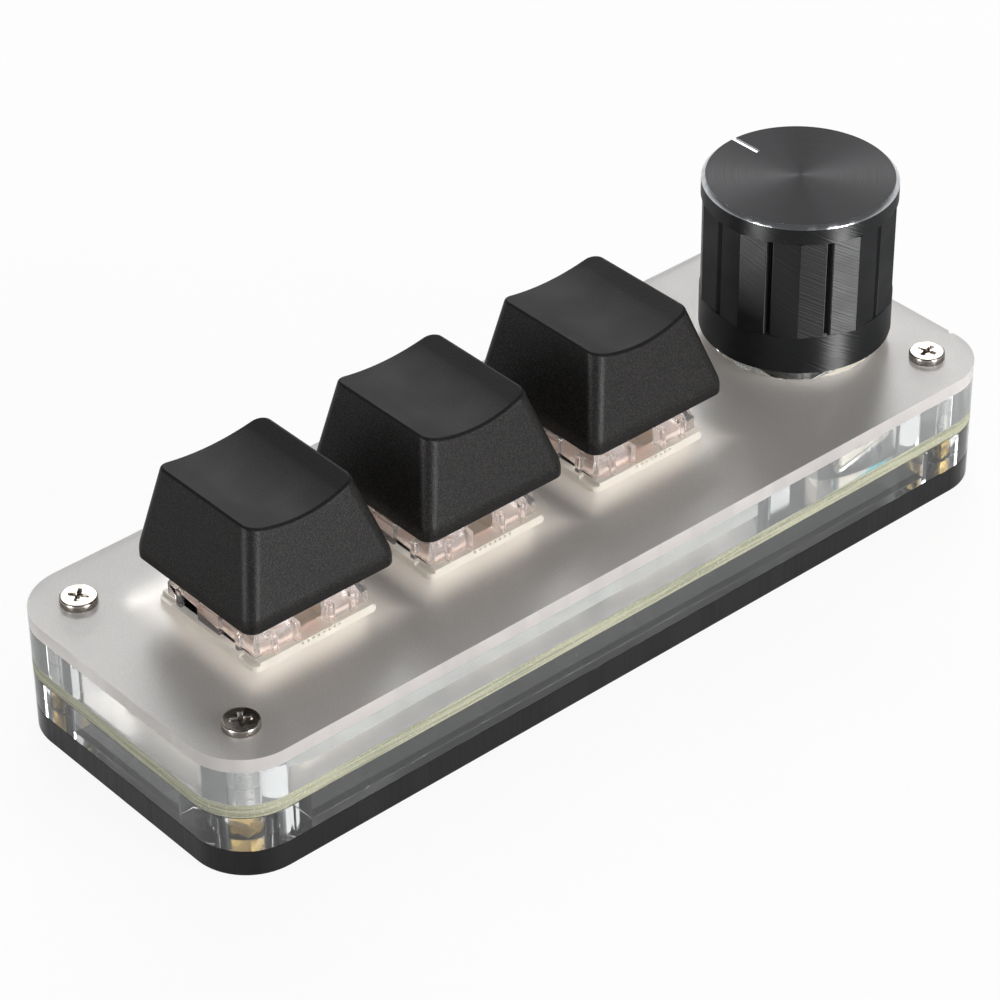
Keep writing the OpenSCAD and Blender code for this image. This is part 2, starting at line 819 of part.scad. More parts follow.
// Controller chip with two rows of legs, under the board
module controller_chip() {
    color([0.12, 0.12, 0.12])
    translate([(key_x(0) + key_x(1)) / 2, chip_y, board_z])
    union() {
        box_between(chip_l, chip_w, -chip_t - rest_gap, -rest_gap);
        for (k = [0:chip_legs - 1], s = [-1, 1])
            translate([(k - (chip_legs - 1) / 2) * chip_pitch, s * (chip_w + leg_l) / 2 - s * rest_gap, 0])
                box_between(leg_w, leg_l, -leg_t, 0);
    }
}

// Small parts soldered under the board, two beside each key
module board_parts() {
    color([0.6, 0.5, 0.4])
    for (i = [0:key_count - 1], s = [-1, 1])
        translate([key_x(i) + s * part_x, part_y, board_z])
            box_between(part_w, part_l, -part_t, 0);
}

base_plate();
spacer_frame();
circuit_board();
switch_frame();
top_plate();
standoff(0);  // standoff_1
standoff(1);  // standoff_2
standoff(2);  // standoff_3
standoff(3);  // standoff_4
top_screw(0);  // top_screw_1
top_screw(1);  // top_screw_2
top_screw(2);  // top_screw_3
top_screw(3);  // top_screw_4
base_screw(0);  // base_screw_1
base_screw(1);  // base_screw_2
base_screw(2);  // base_screw_3
base_screw(3);  // base_screw_4
switch_base(0);  // switch_base_1
switch_base(1);  // switch_base_2
switch_base(2);  // switch_base_3
switch_cover(0);  // switch_cover_1
switch_cover(1);  // switch_cover_2
switch_cover(2);  // switch_cover_3
switch_contacts(0);  // switch_contacts_1
switch_contacts(1);  // switch_contacts_2
switch_contacts(2);  // switch_contacts_3
switch_spring(0);  // switch_spring_1
switch_spring(1);  // switch_spring_2
switch_spring(2);  // switch_spring_3
switch_stem(0);  // switch_stem_1
switch_stem(1);  // switch_stem_2
switch_stem(2);  // switch_stem_3
keycap(0);  // keycap_1
keycap(1);  // keycap_2
keycap(2);  // keycap_3
encoder_base();
encoder_bracket();
encoder_terminals();
encoder_bushing();
encoder_dome();
encoder_rotor();
encoder_shaft();
knob();
grub_screw();
socket_shell();
socket_tongue();
controller_chip();
board_parts();
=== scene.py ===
import math

import bmesh
import bpy
from mathutils import Matrix, Vector


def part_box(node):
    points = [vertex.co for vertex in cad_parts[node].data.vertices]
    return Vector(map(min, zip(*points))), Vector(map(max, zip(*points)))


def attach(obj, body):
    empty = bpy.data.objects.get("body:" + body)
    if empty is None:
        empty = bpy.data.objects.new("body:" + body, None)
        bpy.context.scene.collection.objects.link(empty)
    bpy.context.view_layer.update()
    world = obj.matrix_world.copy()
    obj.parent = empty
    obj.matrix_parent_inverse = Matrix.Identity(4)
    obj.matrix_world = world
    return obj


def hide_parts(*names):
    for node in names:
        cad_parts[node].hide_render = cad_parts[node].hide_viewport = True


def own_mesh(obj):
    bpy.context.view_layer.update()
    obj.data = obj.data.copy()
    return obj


bl_info = {
    "name": "Macro keypad",
    "version": (1, 0, 0),
    "blender": (4, 5, 0),
    "location": "3D View > Sidebar > Keypad",
    "description": "Dresses the packed keypad with modelled pieces, finishes, lights and a camera",
    "category": "Object",
}

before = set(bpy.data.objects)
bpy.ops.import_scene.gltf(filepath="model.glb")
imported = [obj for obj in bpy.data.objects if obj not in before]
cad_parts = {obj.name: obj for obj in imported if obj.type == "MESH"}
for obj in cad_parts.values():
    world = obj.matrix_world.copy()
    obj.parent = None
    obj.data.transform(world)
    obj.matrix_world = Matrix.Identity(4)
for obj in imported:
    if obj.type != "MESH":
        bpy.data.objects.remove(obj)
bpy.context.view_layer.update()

MM = 0.001
# Air left between two layers that touch, so that their faces don't coincide
AIR = 0.012 * MM
# How far a cutter runs past the face that it opens
PAST = 0.4 * MM
# Radius of the case's upright corners
CASE_CORNER = 6.4 * MM
# Radius of the holes that the case's screws pass through
SCREW_HOLE = 1.1 * MM
# Edges sharper than this stay sharp in the shading
SHARP = math.radians(38)
KEYS = (1, 2, 3)
CORNERS = (1, 2, 3, 4)


# Places taken from the frame


def low(node):
    """Lowest corner of a CAD node."""
    return Vector(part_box(node)[0])


def high(node):
    """Highest corner of a CAD node."""
    return Vector(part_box(node)[1])


def middle(node):
    """Centre of a CAD node's box."""
    return (low(node) + high(node)) / 2


def key_x(key):
    """Place of a key's axis along the row."""
    return middle(f"switch_base_{key}").x


def screw_at(corner):
    """Place of a corner's screw, as x and y."""
    place = middle(f"top_screw_{corner}")
    return place.x, place.y


DIAL_X = middle("encoder_shaft").x
# Half the width of a switch's flange
FLANGE = (high("switch_base_1").x - low("switch_base_1").x) / 2
# Radius of the hole for the dial's hub in the top sheet and the clear frame
HUB_HOLE = 9.15 * MM


# Modelling by operators


def alone(piece):
    """Makes a piece the only selected and the active object."""
    bpy.ops.object.select_all(action="DESELECT")
    piece.select_set(True)
    bpy.context.view_layer.objects.active = piece


def pick(piece, kind, test):
    """Enters edit mode with only the vertices, edges or faces that pass the test selected."""
    alone(piece)
    bpy.ops.object.mode_set(mode="EDIT")
    bpy.ops.mesh.select_mode(type=kind)
    bpy.ops.mesh.select_all(action="DESELECT")
    mesh = bmesh.from_edit_mesh(piece.data)
    mesh.normal_update()
    items = {"VERT": mesh.verts, "EDGE": mesh.edges, "FACE": mesh.faces}[kind]
    for item in [i for i in items if test(i)]:
        item.select_set(True)
    bmesh.update_edit_mesh(piece.data)


def done():
    """Leaves edit mode."""
    bpy.ops.object.mode_set(mode="OBJECT")


def settle(piece):
    """Applies a piece's place, turn and scale to its mesh."""
    alone(piece)
    bpy.ops.object.transform_apply(location=True, rotation=True, scale=True)
    return piece


def block(name, lo, hi):
    """A rectangular block between two corners."""
    lo, hi = Vector(lo), Vector(hi)
    bpy.ops.object.select_all(action="DESELECT")
    bpy.ops.mesh.primitive_cube_add(size=1, location=(lo + hi) / 2, scale=hi - lo)
    piece = bpy.context.active_object
    piece.name = name
    return settle(piece)


def disc(name, centre, radius, z0, z1, sides=64, turn=0.0, top_radius=None):
    """An upright cylinder or cone between two heights."""
    bpy.ops.object.select_all(action="DESELECT")
    bpy.ops.mesh.primitive_cone_add(
        vertices=sides,
        radius1=radius,
        radius2=radius if top_radius is None else top_radius,
        depth=z1 - z0,
        location=(centre[0], centre[1], (z0 + z1) / 2),
        rotation=(0, 0, turn),
    )
    piece = bpy.context.active_object
    piece.name = name
    return settle(piece)


def upright(edge):
    """True for an edge that runs mostly up and down."""
    run = edge.verts[1].co - edge.verts[0].co
    return abs(run.z) > 0.6 * run.length and abs(run.z) > 1e-6


def round_corners(piece, radius, steps=8, test=upright):
    """Rounds the upright edges."""
    pick(piece, "EDGE", test)
    bpy.ops.mesh.bevel(offset=radius, segments=steps, affect="EDGES", clamp_overlap=False)
    done()
    return piece


def apply(piece, kind, **values):
    """Adds a modifier with these values and applies it."""
    alone(piece)
    step = piece.modifiers.new(kind.title(), kind)
    for name, value in values.items():
        setattr(step, name, value)
    bpy.ops.object.modifier_apply(modifier=step.name)
    return piece


def cut(piece, *cutters, operation="DIFFERENCE"):
    """Cuts the cutters out of a piece, or joins them to it, and removes them."""
    for cutter in cutters:
        apply(piece, "BOOLEAN", operation=operation, solver="EXACT", object=cutter)
        bpy.data.objects.remove(cutter, do_unlink=True)
    return piece


def union(piece, *others):
    """Joins the others to a piece as one solid."""
    return cut(piece, *others, operation="UNION")


def join(piece, *others):
    """Joins pieces that only touch into one object."""
    alone(piece)
    for other in others:
        other.select_set(True)
    bpy.ops.object.join()
    return piece


def soften(piece, width, steps=2, angle=28):
    """Rounds every sharp edge a little and shades the piece smooth between its edges."""
    if width:
        apply(piece, "BEVEL", width=width, segments=steps, limit_method="ANGLE",
              angle_limit=math.radians(angle), use_clamp_overlap=True)
    alone(piece)
    bpy.ops.object.shade_smooth_by_angle(angle=SHARP)
    apply(piece, "WEIGHTED_NORMAL", keep_sharp=True)
    return piece


def twin(piece, name, shift=(0, 0, 0), turn=0.0):
    """A copy of a piece with its own mesh, turned about the origin and then moved."""
    other = piece.copy()
    other.data = piece.data.copy()
    other.name = name
    bpy.context.scene.collection.objects.link(other)
    other.data.transform(Matrix.Translation(shift) @ Matrix.Rotation(turn, 4, "Z"))
    return other


def cad_copy(node, name):
    """A merged copy of a CAD node's mesh, with flat faces made whole."""
    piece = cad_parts[node].copy()
    piece.data = piece.data.copy()
    piece.parent = None
    piece.matrix_world = Matrix.Identity(4)
    piece.name = name
    bpy.context.scene.collection.objects.link(piece)
    piece.data.materials.clear()
    pick(piece, "VERT", lambda v: True)
    bpy.ops.mesh.select_all(action="SELECT")
    bpy.ops.mesh.remove_doubles(threshold=0.0005 * MM)
    bpy.ops.mesh.dissolve_limited(angle_limit=math.radians(0.4))
    done()
    return piece


def finish_piece(piece, body, nodes, slot, *finishes):
    """Gives a piece its finishes and its body, and hides the CAD nodes that it stands for; the slot is
    not used.
    """
    if finishes:
        indices = [f.material_index for f in piece.data.polygons]
        piece.data.materials.clear()
        for finish in finishes:
            piece.data.materials.append(finish)
        for face, index in zip(piece.data.polygons, indices):
            face.material_index = min(index, len(finishes) - 1)
    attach(piece, body)
    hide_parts(*nodes)
    return piece


def dress(node_name, name, edge, body, slot, finish, steps=2):
    """Copies a CAD node, softens its edges by so many millimetres and finishes it."""
    piece = cad_copy(node_name, name)
    soften(piece, edge * MM, steps)
    return finish_piece(piece, body, [node_name], slot, finish)


def shorten(piece):
    """Gives a springy piece a mesh of its own."""
    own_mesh(piece)


def paint(piece, index, test):
    """Gives the faces that pass the test the finish at this index."""
    while len(piece.data.materials) <= index:
        piece.data.materials.append(None)
    for face in piece.data.polygons:
        if test(face):
            face.material_index = index


def is_side(face):
    """True for a face that stands upright."""
    return abs(face.normal.z) < 0.5


def is_outside(face):
    """True for an upright face on the case's outline."""
    corner = high("base_plate")
    return is_side(face) and (abs(face.center.x) > corner.x - CASE_CORNER
                              or abs(face.center.y) > corner.y - 0.5 * MM)


# Node trees


def node(tree, kind, inputs=None, **values):
    """Adds a node, sets its values, and fills its inputs with values or links."""
    item = tree.nodes.new(kind)
    for name, value in values.items():
        setattr(item, name, value)
    for name, value in (inputs or {}).items():
        if isinstance(value, bpy.types.NodeSocket):
            tree.links.new(value, item.inputs[name])
        else:
            item.inputs[name].default_value = value
    return item


def math_node(tree, operation, a, b=0.0, c=0.0):
    """A Math node's result."""
    return node(tree, "ShaderNodeMath", {0: a, 1: b, 2: c}, operation=operation).outputs[0]


def ramp(tree, value, lo, hi, to_lo=0.0, to_hi=1.0):
    """Maps a value smoothly from one range to another."""
    return node(tree, "ShaderNodeMapRange",
                {"Value": value, "From Min": lo, "From Max": hi, "To Min": to_lo, "To Max": to_hi},
                interpolation_type="SMOOTHSTEP").outputs["Result"]


def blend_colour(tree, mask, a, b):
    """Mixes two colours by a mask."""
    mix = node(tree, "ShaderNodeMix", {"Factor": mask}, data_type="RGBA")
    for socket, value in ((mix.inputs[6], a), (mix.inputs[7], b)):
        if isinstance(value, bpy.types.NodeSocket):
            tree.links.new(value, socket)
        else:
            socket.default_value = value
    return mix.outputs[2]


def rgba(colour):
    """A colour with full opacity."""
    return (*colour[:3], 1.0)


def effect(name, inputs, outputs):
    """A new shader node group with float inputs and these outputs."""
    tree = bpy.data.node_groups.new(name, "ShaderNodeTree")
    for label, default in inputs:
        socket = tree.interface.new_socket(label, in_out="INPUT", socket_type="NodeSocketFloat")
        socket.default_value = default
    for label in outputs:
        tree.interface.new_socket(label, in_out="OUTPUT", socket_type="NodeSocketFloat")
    given = tree.nodes.new("NodeGroupInput").outputs
    result = tree.nodes.new("NodeGroupOutput").inputs
    place = tree.nodes.new("ShaderNodeTexCoord")
    return tree, given, result, place.outputs["Object"], place.outputs["Normal"]


def make_grain():
    """Fine even grain: a height, and a mask of its rare points, which the finishes paint as glints,
    that is as painted highlights.
    """
    tree, given, result, place, _ = effect(
        "fine grain", (("Scale", 5000.0), ("Points", 0.68)), ("Height", "Painted Glints"))
    noise = node(tree, "ShaderNodeTexNoise",
                 {"Vector": place, "Scale": given["Scale"], "Detail": 2.0, "Roughness": 0.6})
    double = math_node(tree, "MULTIPLY", given["Scale"], 1.7)
    spots = node(tree, "ShaderNodeTexNoise", {"Vector": place, "Scale": double, "Detail": 0.0})
    above = math_node(tree, "SUBTRACT", spots.outputs["Fac"], given["Points"])
    painted_glints = node(tree, "ShaderNodeClamp", {"Value": math_node(tree, "MULTIPLY", above, 9.0)})
    tree.links.new(noise.outputs["Fac"], result["Height"])
    tree.links.new(painted_glints.outputs[0], result["Painted Glints"])
    return tree


def make_streaks():
    """Upright marks of a laser on a cut edge: a height, and a mask of the clearer marks."""
    tree, given, result, place, _ = effect(
        "laser streaks", (("Scale", 1400.0), ("Stretch", 0.04)), ("Height", "Marks"))
    squash = node(tree, "ShaderNodeCombineXYZ", {0: 1.0, 1: 1.0, 2: given["Stretch"]})
    stretched = node(tree, "ShaderNodeVectorMath", {0: place, 1: squash.outputs[0]},
                     operation="MULTIPLY").outputs["Vector"]
    fine = node(tree, "ShaderNodeTexNoise",
                {"Vector": stretched, "Scale": given["Scale"], "Detail": 2.0, "Roughness": 0.7})
    wide = node(tree, "ShaderNodeTexNoise",
                {"Vector": stretched, "Scale": math_node(tree, "MULTIPLY", given["Scale"], 0.22),
                 "Detail": 1.0})
    both = math_node(tree, "ADD", math_node(tree, "MULTIPLY", fine.outputs["Fac"], 0.6),
                     math_node(tree, "MULTIPLY", wide.outputs["Fac"], 0.8))
    tree.links.new(both, result["Height"])
    tree.links.new(ramp(tree, wide.outputs["Fac"], 0.46, 0.62), result["Marks"])
    return tree


def make_smudge():
    """Slow uneven patches, as handling and dust leave them."""
    tree, given, result, place, _ = effect("smudge", (("Scale", 160.0),), ("Mask",))
    noise = node(tree, "ShaderNodeTexNoise",
                 {"Vector": place, "Scale": given["Scale"], "Detail": 1.0, "Roughness": 0.4})
    tree.links.new(ramp(tree, noise.outputs["Fac"], 0.35, 0.68), result["Mask"])
    return tree


def make_flat():
    """A mask that is 1 where a surface faces up or down and 0 on its sides."""
    tree, given, result, _, normal = effect("level mask", (("Softness", 0.2),), ("Mask",))
    up = math_node(tree, "ABSOLUTE", node(tree, "ShaderNodeSeparateXYZ", {0: normal}).outputs[2])
    start = math_node(tree, "SUBTRACT", 0.8, given["Softness"])
    tree.links.new(ramp(tree, up, start, 0.9), result["Mask"])
    return tree


def make_turning():
    """Marks of a lathe round an upright axis: heights of its rings and of the lines of its feed."""
    tree, given, result, place, _ = effect(
        "turned rings", (("Axis X", 0.0), ("Axis Y", 0.0), ("Pitch", 9000.0), ("Slant", 0.0)),
        ("Rings", "Screw Lines"))
    split = node(tree, "ShaderNodeSeparateXYZ", {0: place}).outputs
    x = math_node(tree, "SUBTRACT", split[0], given["Axis X"])
    y = math_node(tree, "SUBTRACT", split[1], given["Axis Y"])
    radius = math_node(tree, "SQRT", math_node(tree, "ADD", math_node(tree, "MULTIPLY", x, x),
                                              math_node(tree, "MULTIPLY", y, y)))
    rings = node(tree, "ShaderNodeTexNoise", {"W": radius, "Scale": given["Pitch"], "Detail": 2.0},
                 noise_dimensions="1D")
    angle = math_node(tree, "ARCTAN2", y, x)
    along = math_node(tree, "ADD", split[2], math_node(tree, "MULTIPLY", angle, given["Slant"]))
    lines = node(tree, "ShaderNodeTexNoise", {"W": along, "Scale": given["Pitch"], "Detail": 1.0},
                 noise_dimensions="1D")
    tree.links.new(rings.outputs["Fac"], result["Rings"])
    tree.links.new(lines.outputs["Fac"], result["Screw Lines"])
    return tree


# Shared effects by name, made when the script runs
EFFECTS = {}


def use(tree, name, **values):
    """Places a shared effect in a material with its own values."""
    item = tree.nodes.new("ShaderNodeGroup")
    item.node_tree = EFFECTS[name]
    for label, value in values.items():
        item.inputs[label.replace("_", " ")].default_value = value
    return item.outputs


def bump(tree, height, strength, depth):
    """A bump's normal, its depth in millimetres."""
    return node(tree, "ShaderNodeBump",
                {"Height": height, "Strength": strength, "Distance": depth * MM}).outputs[0]


def toned(tree, mask, colour, share):
    """A colour that turns to this share of itself where the mask is 1."""
    return blend_colour(tree, mask, rgba(colour), rgba([share * c for c in colour]))


def surface(tree, sock, base, rough, height, strength, depth):
    """Links a finish's colour, roughness and bump."""
    tree.links.new(base, sock["Base Color"])
    tree.links.new(rough, sock["Roughness"])
    tree.links.new(bump(tree, height, strength, depth), sock["Normal"])


def material(name, **plain):
    """A material with one Principled shader, its plain values set on its own sockets."""
    mat = bpy.data.materials.new(name)
    mat.use_nodes = True
    tree = mat.node_tree
    shader = tree.nodes["Principled BSDF"]
    for label, value in plain.items():
        shader.inputs[label.replace("_", " ")].default_value = value
    return mat, tree, shader.inputs


def let_lamps_through(tree):
    """Lets the lamps' light through a clear material, dimmed a little."""
    out = tree.nodes["Material Output"]
    path = node(tree, "ShaderNodeLightPath")
    clear = node(tree, "ShaderNodeBsdfTransparent", {"Color": (0.86, 0.87, 0.87, 1)})
    mix = node(tree, "ShaderNodeMixShader",
               {0: path.outputs["Is Shadow Ray"], 1: tree.nodes["Principled BSDF"].outputs[0],
                2: clear.outputs[0]})
    tree.links.new(mix.outputs[0], out.inputs["Surface"])


# Finishes


def frosted_top(colours):
    """Satin top of the frosted sheet, with a painted glow round the switches and dial: a lighter colour
    and an emission there.
    """
    near, far, hub_far = 0.4 * MM, 4.0 * MM, 3.6 * MM
    mat, tree, sock = material("frosted acrylic top", Transmission_Weight=0.6, IOR=1.49,
                               Specular_IOR_Level=0.95, Emission_Strength=1.0)
    grain = use(tree, "fine grain", Scale=3800.0, Points=0.62)
    place = node(tree, "ShaderNodeTexCoord").outputs["Object"]
    split = node(tree, "ShaderNodeSeparateXYZ", {0: place}).outputs
    hub = (DIAL_X, 0, high("top_plate").z)
    from_hub = node(tree, "ShaderNodeVectorMath", {0: place, 1: hub},
                    operation="DISTANCE").outputs["Value"]
    ring = ramp(tree, from_hub, HUB_HOLE, HUB_HOLE + hub_far, 1.0, 0.0)
    # Painted glow: a mask that is 1 at the dial's hole and at each switch flange, and fades outwards
    painted_halo = math_node(tree, "MULTIPLY", ring, 0.5)
    across = math_node(tree, "SUBTRACT", math_node(tree, "ABSOLUTE", split[1]), FLANGE)
    for key in KEYS:
        along = math_node(tree, "ABSOLUTE", math_node(tree, "SUBTRACT", split[0], key_x(key)))
        gap = math_node(tree, "MAXIMUM", math_node(tree, "SUBTRACT", along, FLANGE), across)
        painted_halo = math_node(tree, "MAXIMUM", painted_halo, ramp(tree, gap, near, far, 1.0, 0.0))
    light = math_node(tree, "POWER", painted_halo, 1.5)
    # Painted glints: rare grain points painted paler on the frosted sheet
    painted_glints = math_node(tree, "MULTIPLY", grain["Painted Glints"], 0.3)
    fine = blend_colour(tree, painted_glints, rgba(colours.frosted), (0.8, 0.79, 0.78, 1))
    # Painted glow: an emission and a lighter colour where the mask is high, standing in for light
    # scattered and reflected round the switches
    glow = rgba([0.17 * c for c in colours.painted_halo])
    tree.links.new(blend_colour(tree, light, (0, 0, 0, 1), glow), sock["Emission Color"])
    surface(tree, sock, blend_colour(tree, light, fine, rgba(colours.painted_halo)),
            ramp(tree, grain["Height"], 0.2, 0.8, 0.28, 0.32), grain["Height"], 0.5, 0.014)
    let_lamps_through(tree)
    return mat


def clear_edge(name, tint, rough, clearness):
    """Laser-cut side of a clear sheet."""
    mat, tree, sock = material(name, Transmission_Weight=clearness, IOR=1.49)
    streaks = use(tree, "laser streaks", Scale=1500.0, Stretch=0.03)
    surface(tree, sock, toned(tree, streaks["Marks"], tint, 0.93),
            ramp(tree, streaks["Marks"], 0.0, 1.0, rough, rough + 0.035), streaks["Height"], 0.6, 0.012)
    let_lamps_through(tree)
    return mat


def clear_face():
    """Polished broad face of a clear sheet."""
    mat, tree, sock = material("clear acrylic face", Transmission_Weight=1.0, IOR=1.49)
    patches = use(tree, "smudge", Scale=120.0)["Mask"]
    tint = blend_colour(tree, patches, (0.97, 0.98, 0.98, 1), (0.94, 0.95, 0.95, 1))
    tree.links.new(tint, sock["Base Color"])
    tree.links.new(ramp(tree, patches, 0.0, 1.0, 0.02, 0.06), sock["Roughness"])
    let_lamps_through(tree)
    return mat


def black_sheet(colours):
    """Black acrylic, with the marks of the laser on its cut sides."""
    mat, tree, sock = material("black acrylic", IOR=1.49, Specular_IOR_Level=0.24)
    streaks = use(tree, "laser streaks", Scale=1300.0, Stretch=0.03)
    sides = math_node(tree, "SUBTRACT", 1.0, use(tree, "level mask")["Mask"])
    surface(tree, sock, toned(tree, streaks["Marks"], colours.black_sheet, 1.5),
            ramp(tree, use(tree, "smudge", Scale=140.0)["Mask"], 0.0, 1.0, 0.1, 0.22),
            math_node(tree, "MULTIPLY", streaks["Height"], sides), 0.6, 0.1)
    return mat


def board_edge(colours):
    """Cut edge of the glass-fibre board, with its plies showing."""
    mat, tree, sock = material("glass-fibre edge", IOR=1.5)
    place = node(tree, "ShaderNodeTexCoord").outputs["Object"]
    layered = node(tree, "ShaderNodeMapping", {"Vector": place, "Scale": (90, 90, 5200)}).outputs[0]
    plies = node(tree, "ShaderNodeTexNoise",
                 {"Vector": layered, "Scale": 1.0, "Detail": 2.0, "Roughness": 0.6})
    specks = use(tree, "fine grain", Scale=2600.0, Points=0.6)
    dark = rgba([0.62 * c for c in colours.board_edge])
    base = blend_colour(tree, ramp(tree, plies.outputs["Fac"], 0.4, 0.6), dark,
                        rgba(colours.board_edge))
    # Painted glints: rare grain points painted paler on the board's edge
    points = math_node(tree, "MULTIPLY", specks["Painted Glints"], 0.4)
    surface(tree, sock, blend_colour(tree, points, base, (0.75, 0.77, 0.55, 1)),
            ramp(tree, specks["Height"], 0.3, 0.7, 0.45, 0.75), specks["Height"], 0.5, 0.03)
    return mat


def solder_mask(name, colour):
    """Coated face of the circuit board."""
    mat, tree, sock = material(name, IOR=1.5, Coat_Weight=0.2, Coat_Roughness=0.2)
    weave = use(tree, "fine grain", Scale=1400.0, Points=0.75)["Height"]
    surface(tree, sock, toned(tree, use(tree, "smudge", Scale=200.0)["Mask"], colour, 0.88),
            ramp(tree, weave, 0.3, 0.7, 0.32, 0.5), weave, 0.2, 0.008)
    return mat


def skinned(name, colour, rough, spread, patch, share, grain, depth, values):
    """A finish of one colour with slow patches, this share of the colour, and a fine grain."""
    mat, tree, sock = material(name, **values)
    patches = use(tree, "smudge", Scale=patch)["Mask"]
    surface(tree, sock, toned(tree, patches, colour, share),
            ramp(tree, patches, 0.0, 1.0, rough, rough + spread),
            use(tree, "fine grain", Scale=grain, Points=0.7)["Height"], 0.4, depth)
    return mat


def metal(name, colour, rough, spread=0.1, grain=3000.0, depth=0.01, **values):
    """Bare or plated metal with fine handling marks."""
    return skinned(name, colour, rough, spread, 900.0, 0.85, grain, depth, {"Metallic": 1.0, **values})


def plastic(name, colour, rough, spread=0.1, grain=2200.0, depth=0.01, shade=0.9, **values):
    """Moulded plastic with a fine skin."""
    return skinned(name, colour, rough, spread, 420.0, shade, grain, depth, values)


def encoder_plastic(colours):
    """Encoder body: teal at its foot and pale above."""
    mat, tree, sock = material("encoder plastic", IOR=1.5)
    place = node(tree, "ShaderNodeTexCoord").outputs["Object"]
    height = node(tree, "ShaderNodeSeparateXYZ", {0: place}).outputs[2]
    foot = low("encoder_base").z + 1.3 * MM
    above = ramp(tree, height, foot, foot + 0.05 * MM)
    skin = use(tree, "fine grain", Scale=2400.0)["Height"]
    surface(tree, sock, blend_colour(tree, above, rgba(colours.teal), rgba(colours.encoder)),
            ramp(tree, skin, 0.3, 0.7, 0.3, 0.42), skin, 0.4, 0.01)
    return mat


def keycap_skin(colours):
    """Fine-grained black plastic, smoother on the hollowed top, with painted glints: lighter points,
    strongest on the sides.
    """
    mat, tree, sock = material("keycap plastic", IOR=1.5, Specular_IOR_Level=0.14)
    skin = use(tree, "fine grain", Scale=4600.0, Points=0.5)
    level = use(tree, "level mask", Softness=0.5)["Mask"]
    sides = math_node(tree, "SUBTRACT", 1.0, level)
    # Painted glints: rare points painted lighter, fully on the sides and at a quarter strength on the
    # top
    specks = math_node(tree, "MULTIPLY", skin["Painted Glints"], ramp(tree, sides, 0.0, 1.0, 0.25, 1.0))
    worn = math_node(tree, "MULTIPLY", use(tree, "smudge", Scale=200.0)["Mask"], 0.04)
    surface(tree, sock,
            blend_colour(tree, specks, rgba(colours.keycap), rgba(colours.keycap_painted_glint)),
            math_node(tree, "SUBTRACT", ramp(tree, level, 0.0, 1.0, 0.45, 0.5), worn),
            math_node(tree, "MULTIPLY", skin["Height"], ramp(tree, level, 0.0, 1.0, 1.0, 0.4)),
            0.9, 0.04)
    return mat


def round_axis(tree, sock):
    """Runs a finish's brushed shine round the upright axis."""
    tangent = node(tree, "ShaderNodeTangent", direction_type="RADIAL", axis="Z")
    tree.links.new(tangent.outputs[0], sock["Tangent"])


def anodised_side(colours):
    """Side of the knob, with the fine lines of a lathe's feed."""
    mat, tree, sock = material("black anodised grip", IOR=1.5, Anisotropic=1.0,
                               Anisotropic_Rotation=0.25, Specular_IOR_Level=0.56)
    round_axis(tree, sock)
    rings = use(tree, "turned rings", Axis_X=DIAL_X, Pitch=3600.0, Slant=0.006)
    patches = use(tree, "smudge", Scale=300.0)["Mask"]
    surface(tree, sock, toned(tree, patches, colours.knob, 1.3),
            ramp(tree, patches, 0.0, 1.0, 0.5, 0.56), rings["Screw Lines"], 0.6, 0.034)
    return mat


def anodised_top(colours):
    """Top of the knob, with fine rings round its middle."""
    mat, tree, sock = material("black anodised top", Metallic=1.0, Anisotropic=0.9,
                               Anisotropic_Rotation=0.25)
    round_axis(tree, sock)
    rings = use(tree, "turned rings", Axis_X=DIAL_X, Pitch=5200.0)["Rings"]
    surface(tree, sock, toned(tree, rings, colours.knob_top, 1.7),
            ramp(tree, rings, 0.3, 0.7, 0.34, 0.42), rings, 0.25, 0.01)
    return mat


# Settings


def length(name, description, default, lo, hi):
    """A length that the panel shows."""
    return bpy.props.FloatProperty(name=name, description=description, default=default, min=lo, max=hi,
                                   precision=5, subtype="DISTANCE", unit="LENGTH")


def turn(name, description, degrees):
    """An angle that the panel shows."""
    return bpy.props.FloatProperty(name=name, description=description,
                                   default=math.radians(degrees), subtype="ANGLE", unit="ROTATION")


def power(name, description, watts):
    """A lamp's power that the panel shows."""
    return bpy.props.FloatProperty(name=name, description=description, default=watts, min=0,
                                   subtype="POWER", unit="POWER")


class KeypadSizes(bpy.types.PropertyGroup):
    corner: length("Case corner", "Radius of the case's upright corners", CASE_CORNER, 3 * MM, 9 * MM)
    sheet_edge: length("Sheet edge", "Width of the tiny bevel on the sheets' cut edges",
                       0.09 * MM, 0, 0.3 * MM)
    cap_rim: length("Keycap rim", "Rounding of the edge round a keycap's top",
                    0.34 * MM, 0.1 * MM, 1 * MM)
    cap_dish: length("Keycap dish", "Depth of the hollow in a keycap's top",
                     1.0 * MM, 0.2 * MM, 1.6 * MM)
    thread: length("Thread pitch", "Distance between two turns of the screws' thread",
                   0.4 * MM, 0.3 * MM, 0.6 * MM)
    ridges: bpy.props.IntProperty(
        name="Knob ridges", description="Number of ridges round the knob", default=10, min=8, max=16)
    groove_turn: turn("Groove turn", "Angle that the knob's first groove stands at", 243.6)


def colour(name, description, default):
    """A colour that the panel shows."""
    return bpy.props.FloatVectorProperty(
        name=name, description=description, default=default, size=3, min=0, max=1, subtype="COLOR")


